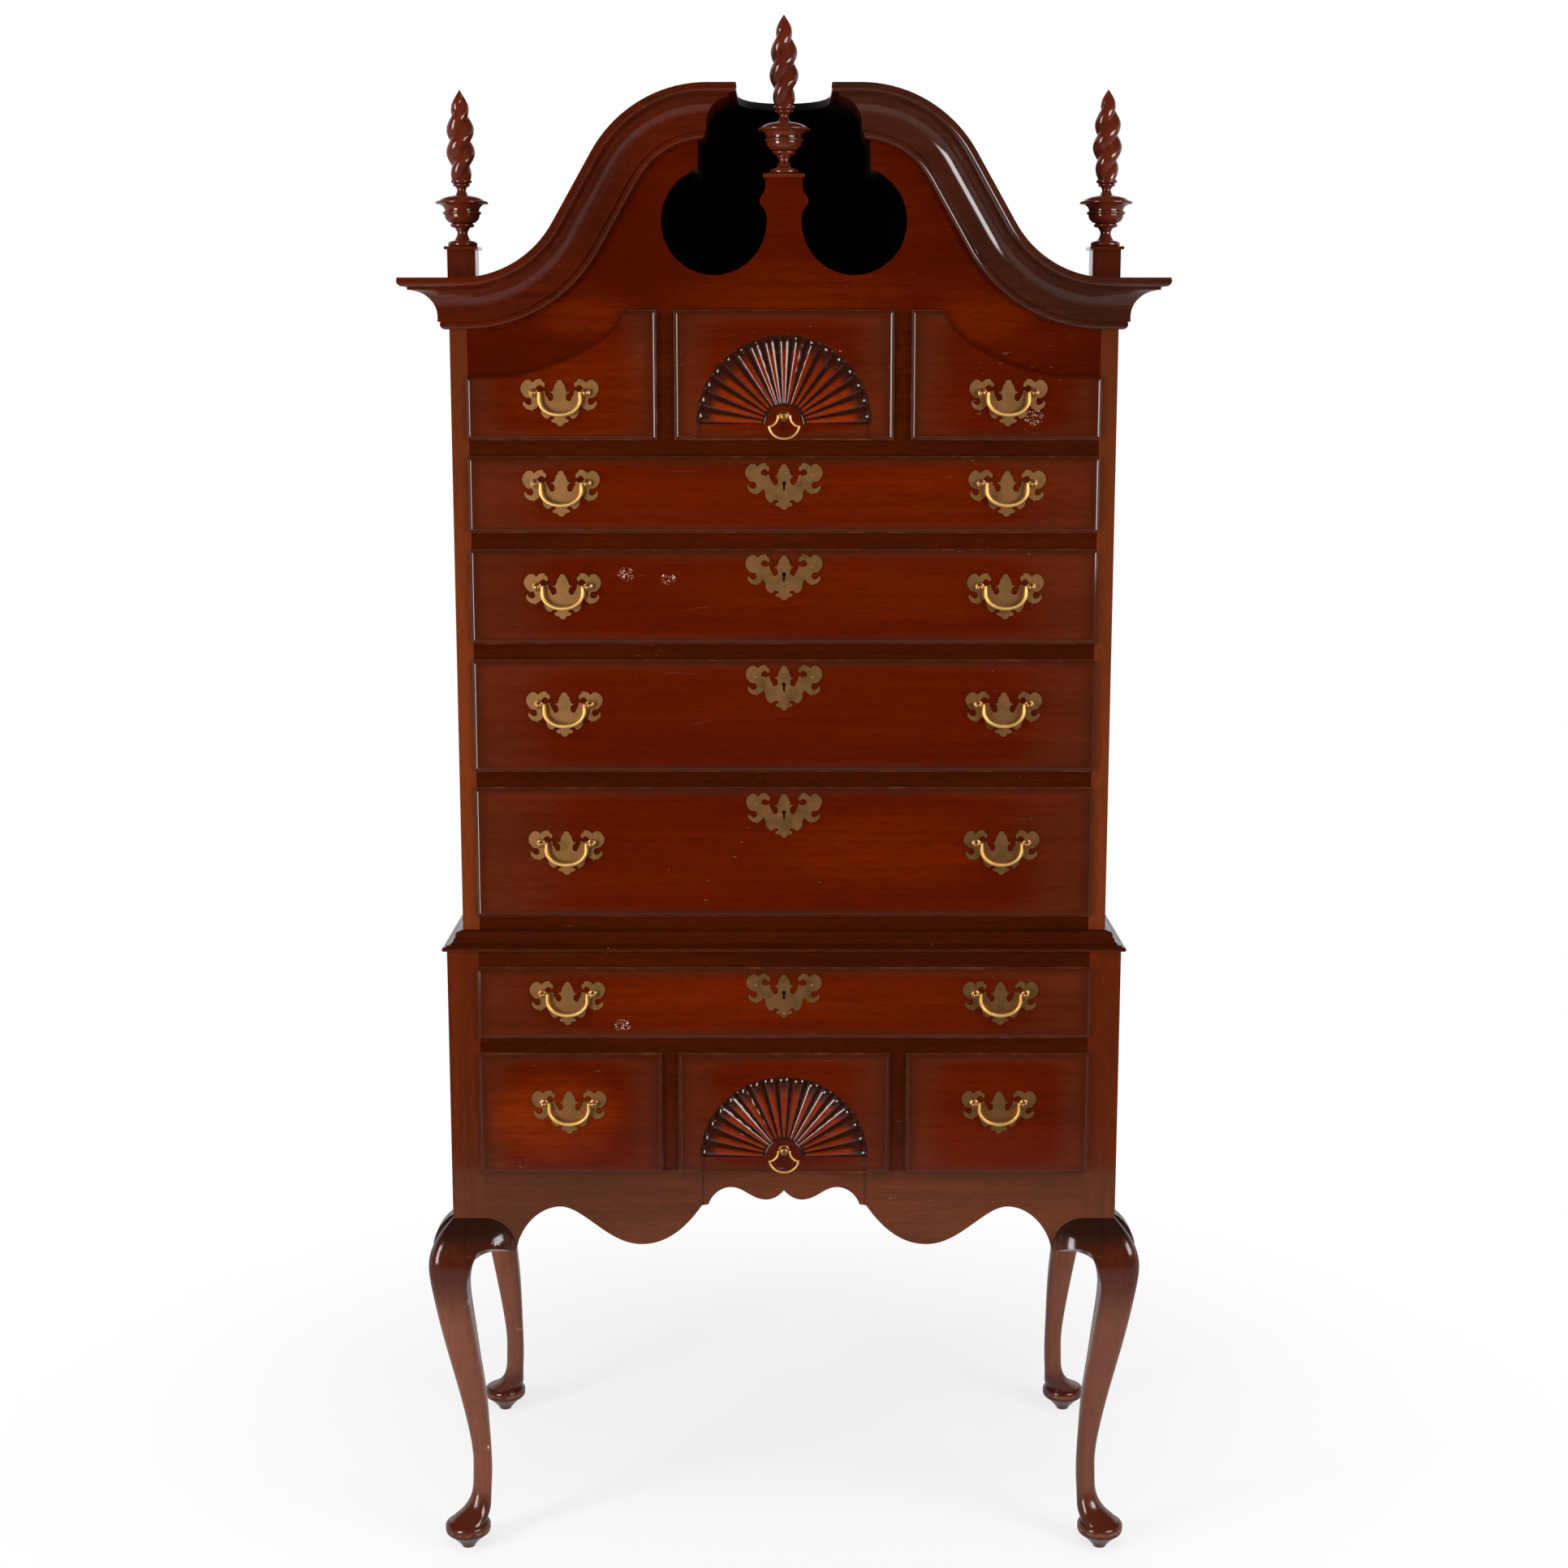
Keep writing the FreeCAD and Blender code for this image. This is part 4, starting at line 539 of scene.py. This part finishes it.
# ------------------------------------------------------------------ dressing the nodes
# glow spots: middle x, middle z, half width, half height, share; then scuffs: x, z, size
drawer_looks = {
    "top_left": ([(-0.27, 1.690, 0.15, 0.075, 0.40)], []),
    "top_right": ([(0.24, 1.68, 0.10, 0.05, 0.1)], [(0.345, 1.672, 0.016)]),
    "top_centre": ([(-0.05, 1.72, 0.12, 0.11, 0.15)], []),
    "upper_first": ([(-0.14, 1.560, 0.30, 0.05, 0.15), (0.20, 1.565, 0.26, 0.05, 0.30)], []),
    "upper_second": ([(0.10, 1.422, 0.30, 0.06, 0.15)],
                     [(-0.221, 1.455, 0.0135), (-0.162, 1.448, 0.012)]),
    "upper_third": ([(0.10, 1.253, 0.30, 0.08, 0.05)], []),
    "upper_fourth": ([(-0.20, 1.055, 0.20, 0.09, 0.05), (0.16, 1.06, 0.22, 0.07, 0.30)], []),
    "lower_long": ([(-0.12, 0.843, 0.24, 0.05, 0.35), (0.17, 0.84, 0.24, 0.05, 0.20)],
                   [(-0.233, 0.808, 0.014)]),
    "lower_left": ([(-0.33, 0.672, 0.12, 0.08, 0.85)], []),
    "lower_right": ([(0.28, 0.675, 0.12, 0.08, 0.20)], []),
    "lower_centre": ([(0.0, 0.69, 0.12, 0.10, 0.05)], []),
}
# spots of the case, each on both sides of the middle: the stile, apron and scroll shade spots are
# painted shade under the crown and under the drawers
stile_shade = [(0.455, 1.80, 0.06, 0.34, 0.75)]
apron_shade = [(0.30, 0.588, 0.21, 0.024, 0.9), (0.12, 0.588, 0.10, 0.020, 0.8)]
scroll_glow = [(0.0, 1.84, 0.20, 0.05, 0.12), (0.27, 1.81, 0.09, 0.045, 0.30)]
scroll_shade = [(0.42, 1.73, 0.14, 0.05, 0.6)]


def dress_drawers():
    for name, (glow_spots, marks) in drawer_looks.items():
        give(drawer_wood(name, glow_spots, marks), "drawer_" + name)


def dress_case():
    flank = (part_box("upper_case_sides")[0][1] + flank_setback, post_red, post_dark)
    upright = case_wood("case_upright", "z", stile_red, stile_dark, stile_shade, behind=flank)
    rails = case_wood("rail_wood", "x", rail_red, rail_dark)
    give(upright, "upper_case_sides")
    give(case_wood("post_wood", "z", post_red, post_dark), "lower_case_sides")
    give(rails, "upper_case_front_rails", "lower_case_front_rails", "waist_moulding")
    give(case_wood("apron_wood", "x", apron_red, apron_dark, apron_shade), "front_apron")
    scroll = case_wood("scroll_wood", "x", darker(body_red, 0.86), darker(body_red, 0.50),
                       scroll_shade, scroll_glow)
    give(scroll, "scroll_board")
    # the right crown takes the darker, browner copy: painted shade on that side
    crowns = (("left", crown_red, crown_dark), ("right", crown_shaded_side, crown_shaded_side_dark))
    for side, light, dark in crowns:
        crown = case_wood("crown_wood_" + side, "x", light, dark, coat=1.0, coat_roughness=0.11)
        give(crown, "crown_moulding_" + side)
    turned = case_wood("turned_wood", "z", turned_red, turned_dark, coat=1.0, coat_roughness=0.10)
    give(turned, "side_finials", "centre_finial")
    give(leg_wood(), "leg_front_left", "leg_front_right", "leg_rear_left", "leg_rear_right")


def dress_inside_and_back():
    runners = plain_wood("runner_wood", "y", poplar, poplar_dark)
    give(runners, "upper_drawer_runners", "lower_drawer_runners")
    give(plain_wood("carcase_wood", "x", poplar, poplar_dark), "upper_case_top_and_bottom")
    backs = plain_wood("back_wood", "x", back_stain, back_dark)
    give(backs, "upper_case_backboards", "lower_case_back")
    give(stained_with_hollow_shade("bonnet_back_wood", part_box("bonnet_back")[1][1]), "bonnet_back")
    give(roof_wood(), "bonnet_roof")


def dress_brasses():
    plates = brass("plate_brass", plate_brass, plate_tarnish, 0.35, 0.8)
    handles = brass("bail_brass", bail_brass, bail_tarnish, 0.48, 0.4)
    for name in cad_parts:
        if name.startswith("brasses_"):
            give(plates, name)
        if name.startswith(("bail_", "ring_")):
            give(handles, name)


# ------------------------------------------------------------------ floor, light and camera
floor_half = 30.0
floor_clear_near = 0.35
floor_clear_far = 1.5
floor_clear_least = 0.72
floor_shine_fade = (-2.6, -0.9)
floor_shine = 0.45

fill_strength = 0.40
wall_turn = (-0.45, 0.35)
wall_top = (0.25, 0.65)

# name, place, aim, width, height, power in watts, and the visibility that is switched off: the
# boxes light the object and aren't mirrored in its lacquer, the cards are only mirrored
lamps = (
    ("left_soft_box", (-2.3, -1.9, 1.3), (0, -0.2, 1.2), 0.7, 2.1, 66.0, "visible_glossy"),
    ("left_card", (-1.95, -2.2, 1.3), (0, -0.2, 1.2), 0.95, 2.1, 84.0, "visible_diffuse"),
    ("right_card", (2.2, -1.9, 1.9), (0, -0.2, 1.8), 1.6, 1.3, 78.0, "visible_diffuse"),
    ("right_soft_box", (2.3, -1.9, 1.3), (0, -0.2, 1.2), 1.3, 2.0, 60.0, "visible_glossy"),
    ("top_soft_box", (0, -1.6, 4.4), (0, 0, 0.8), 2.4, 1.6, 38.0, "visible_glossy"),
)

# the photograph's camera: its place was solved from the case's right angles
camera_distance = 3.366
camera_height = 1.7342
camera_tilt = 9.7
front_of_case = -0.2512
focal_pixels = 2975
photo_pixels = 1932
sensor_width = 36.0


def studio_floor():
    """A floor that is pale under the object and clears to plain white away from it for the camera.
    Reflections find a faint shine on it, except in the foreground."""
    corners = [(-floor_half, -floor_half, 0), (floor_half, -floor_half, 0),
               (floor_half, floor_half, 0), (-floor_half, floor_half, 0)]
    mesh = bpy.data.meshes.new("studio_floor")
    mesh.from_pydata(corners, [], [(0, 1, 2, 3)])
    floor = bpy.data.objects.new("studio_floor", mesh)
    bpy.context.scene.collection.objects.link(floor)

    g = new_graph("floor_paint")
    radius = g.math("SQRT", g.squares(g.x, g.y))
    path = g.add("ShaderNodeLightPath").outputs
    paint = g.add("ShaderNodeBsdfDiffuse")
    speckle = g.fade(g.noise((14.0, 14.0, 14.0), detail=4.0, roughness=0.6), 0.3, 0.7, end=0.03)
    g.join(g.colour(floor_pale, white, speckle), paint.inputs["Color"])
    clear = g.times(path["Is Camera Ray"],
                    g.fade(radius, floor_clear_near, floor_clear_far, floor_clear_least, 1.0))
    seen = g.blend(clear, paint.outputs[0], g.shine("ShaderNodeEmission", 1.0))
    mirrored = g.shine("ShaderNodeEmission", g.fade(g.y, *floor_shine_fade, end=floor_shine))
    g.join(g.blend(path["Is Glossy Ray"], seen, mirrored), g.output.inputs["Surface"])
    mesh.materials.append(g.owner)


def room():
    """A world that is plain white to the camera and a dim even fill to diffuse rays.  Reflections
    find a bright low wall behind the object and darkness in front of it."""
    world = bpy.data.worlds.new("studio")
    bpy.context.scene.world = world
    g = Graph(world, "ShaderNodeOutputWorld", "Generated")
    path = g.add("ShaderNodeLightPath").outputs
    wall = g.times(g.fade(g.y, *wall_turn), g.fade(g.z, *wall_top, 1.0, 0.0))
    fill = g.shine("ShaderNodeBackground", fill_strength)
    mirrored = g.shine("ShaderNodeBackground", wall)
    seen = g.shine("ShaderNodeBackground", 1.0)
    glossy = g.blend(path["Is Glossy Ray"], fill, mirrored)
    g.join(g.blend(path["Is Camera Ray"], glossy, seen), g.output.inputs["Surface"])


def lamp(name, place, aim, wide, high, power, unseen_by):
    """A flat lamp at place, turned towards aim and left out for one kind of ray."""
    data = bpy.data.lights.new(name, "AREA")
    data.shape = "RECTANGLE"
    data.size = wide
    data.size_y = high
    data.energy = power
    box = bpy.data.objects.new(name, data)
    box.location = place
    away = [a - p for a, p in zip(aim, place)]
    flat = math.hypot(away[0], away[1])
    box.rotation_euler = (math.atan2(flat, -away[2]), 0, math.atan2(-away[0], away[1]))
    setattr(box, unseen_by, False)
    bpy.context.scene.collection.objects.link(box)


def camera():
    """The camera stands square to the front, above the middle, looking slightly down."""
    data = bpy.data.cameras.new("camera")
    data.sensor_width = sensor_width
    data.lens = sensor_width * focal_pixels / photo_pixels
    view = bpy.data.objects.new("camera", data)
    view.location = (0.0, front_of_case - camera_distance, camera_height)
    view.rotation_euler = (math.radians(90 - camera_tilt), 0.0, 0.0)
    bpy.context.scene.collection.objects.link(view)
    bpy.context.scene.camera = view


dress_drawers()
dress_case()
dress_inside_and_back()
dress_brasses()
studio_floor()
room()
for settings in lamps:
    lamp(*settings)
camera()
bpy.context.scene.view_settings.view_transform = "Standard"
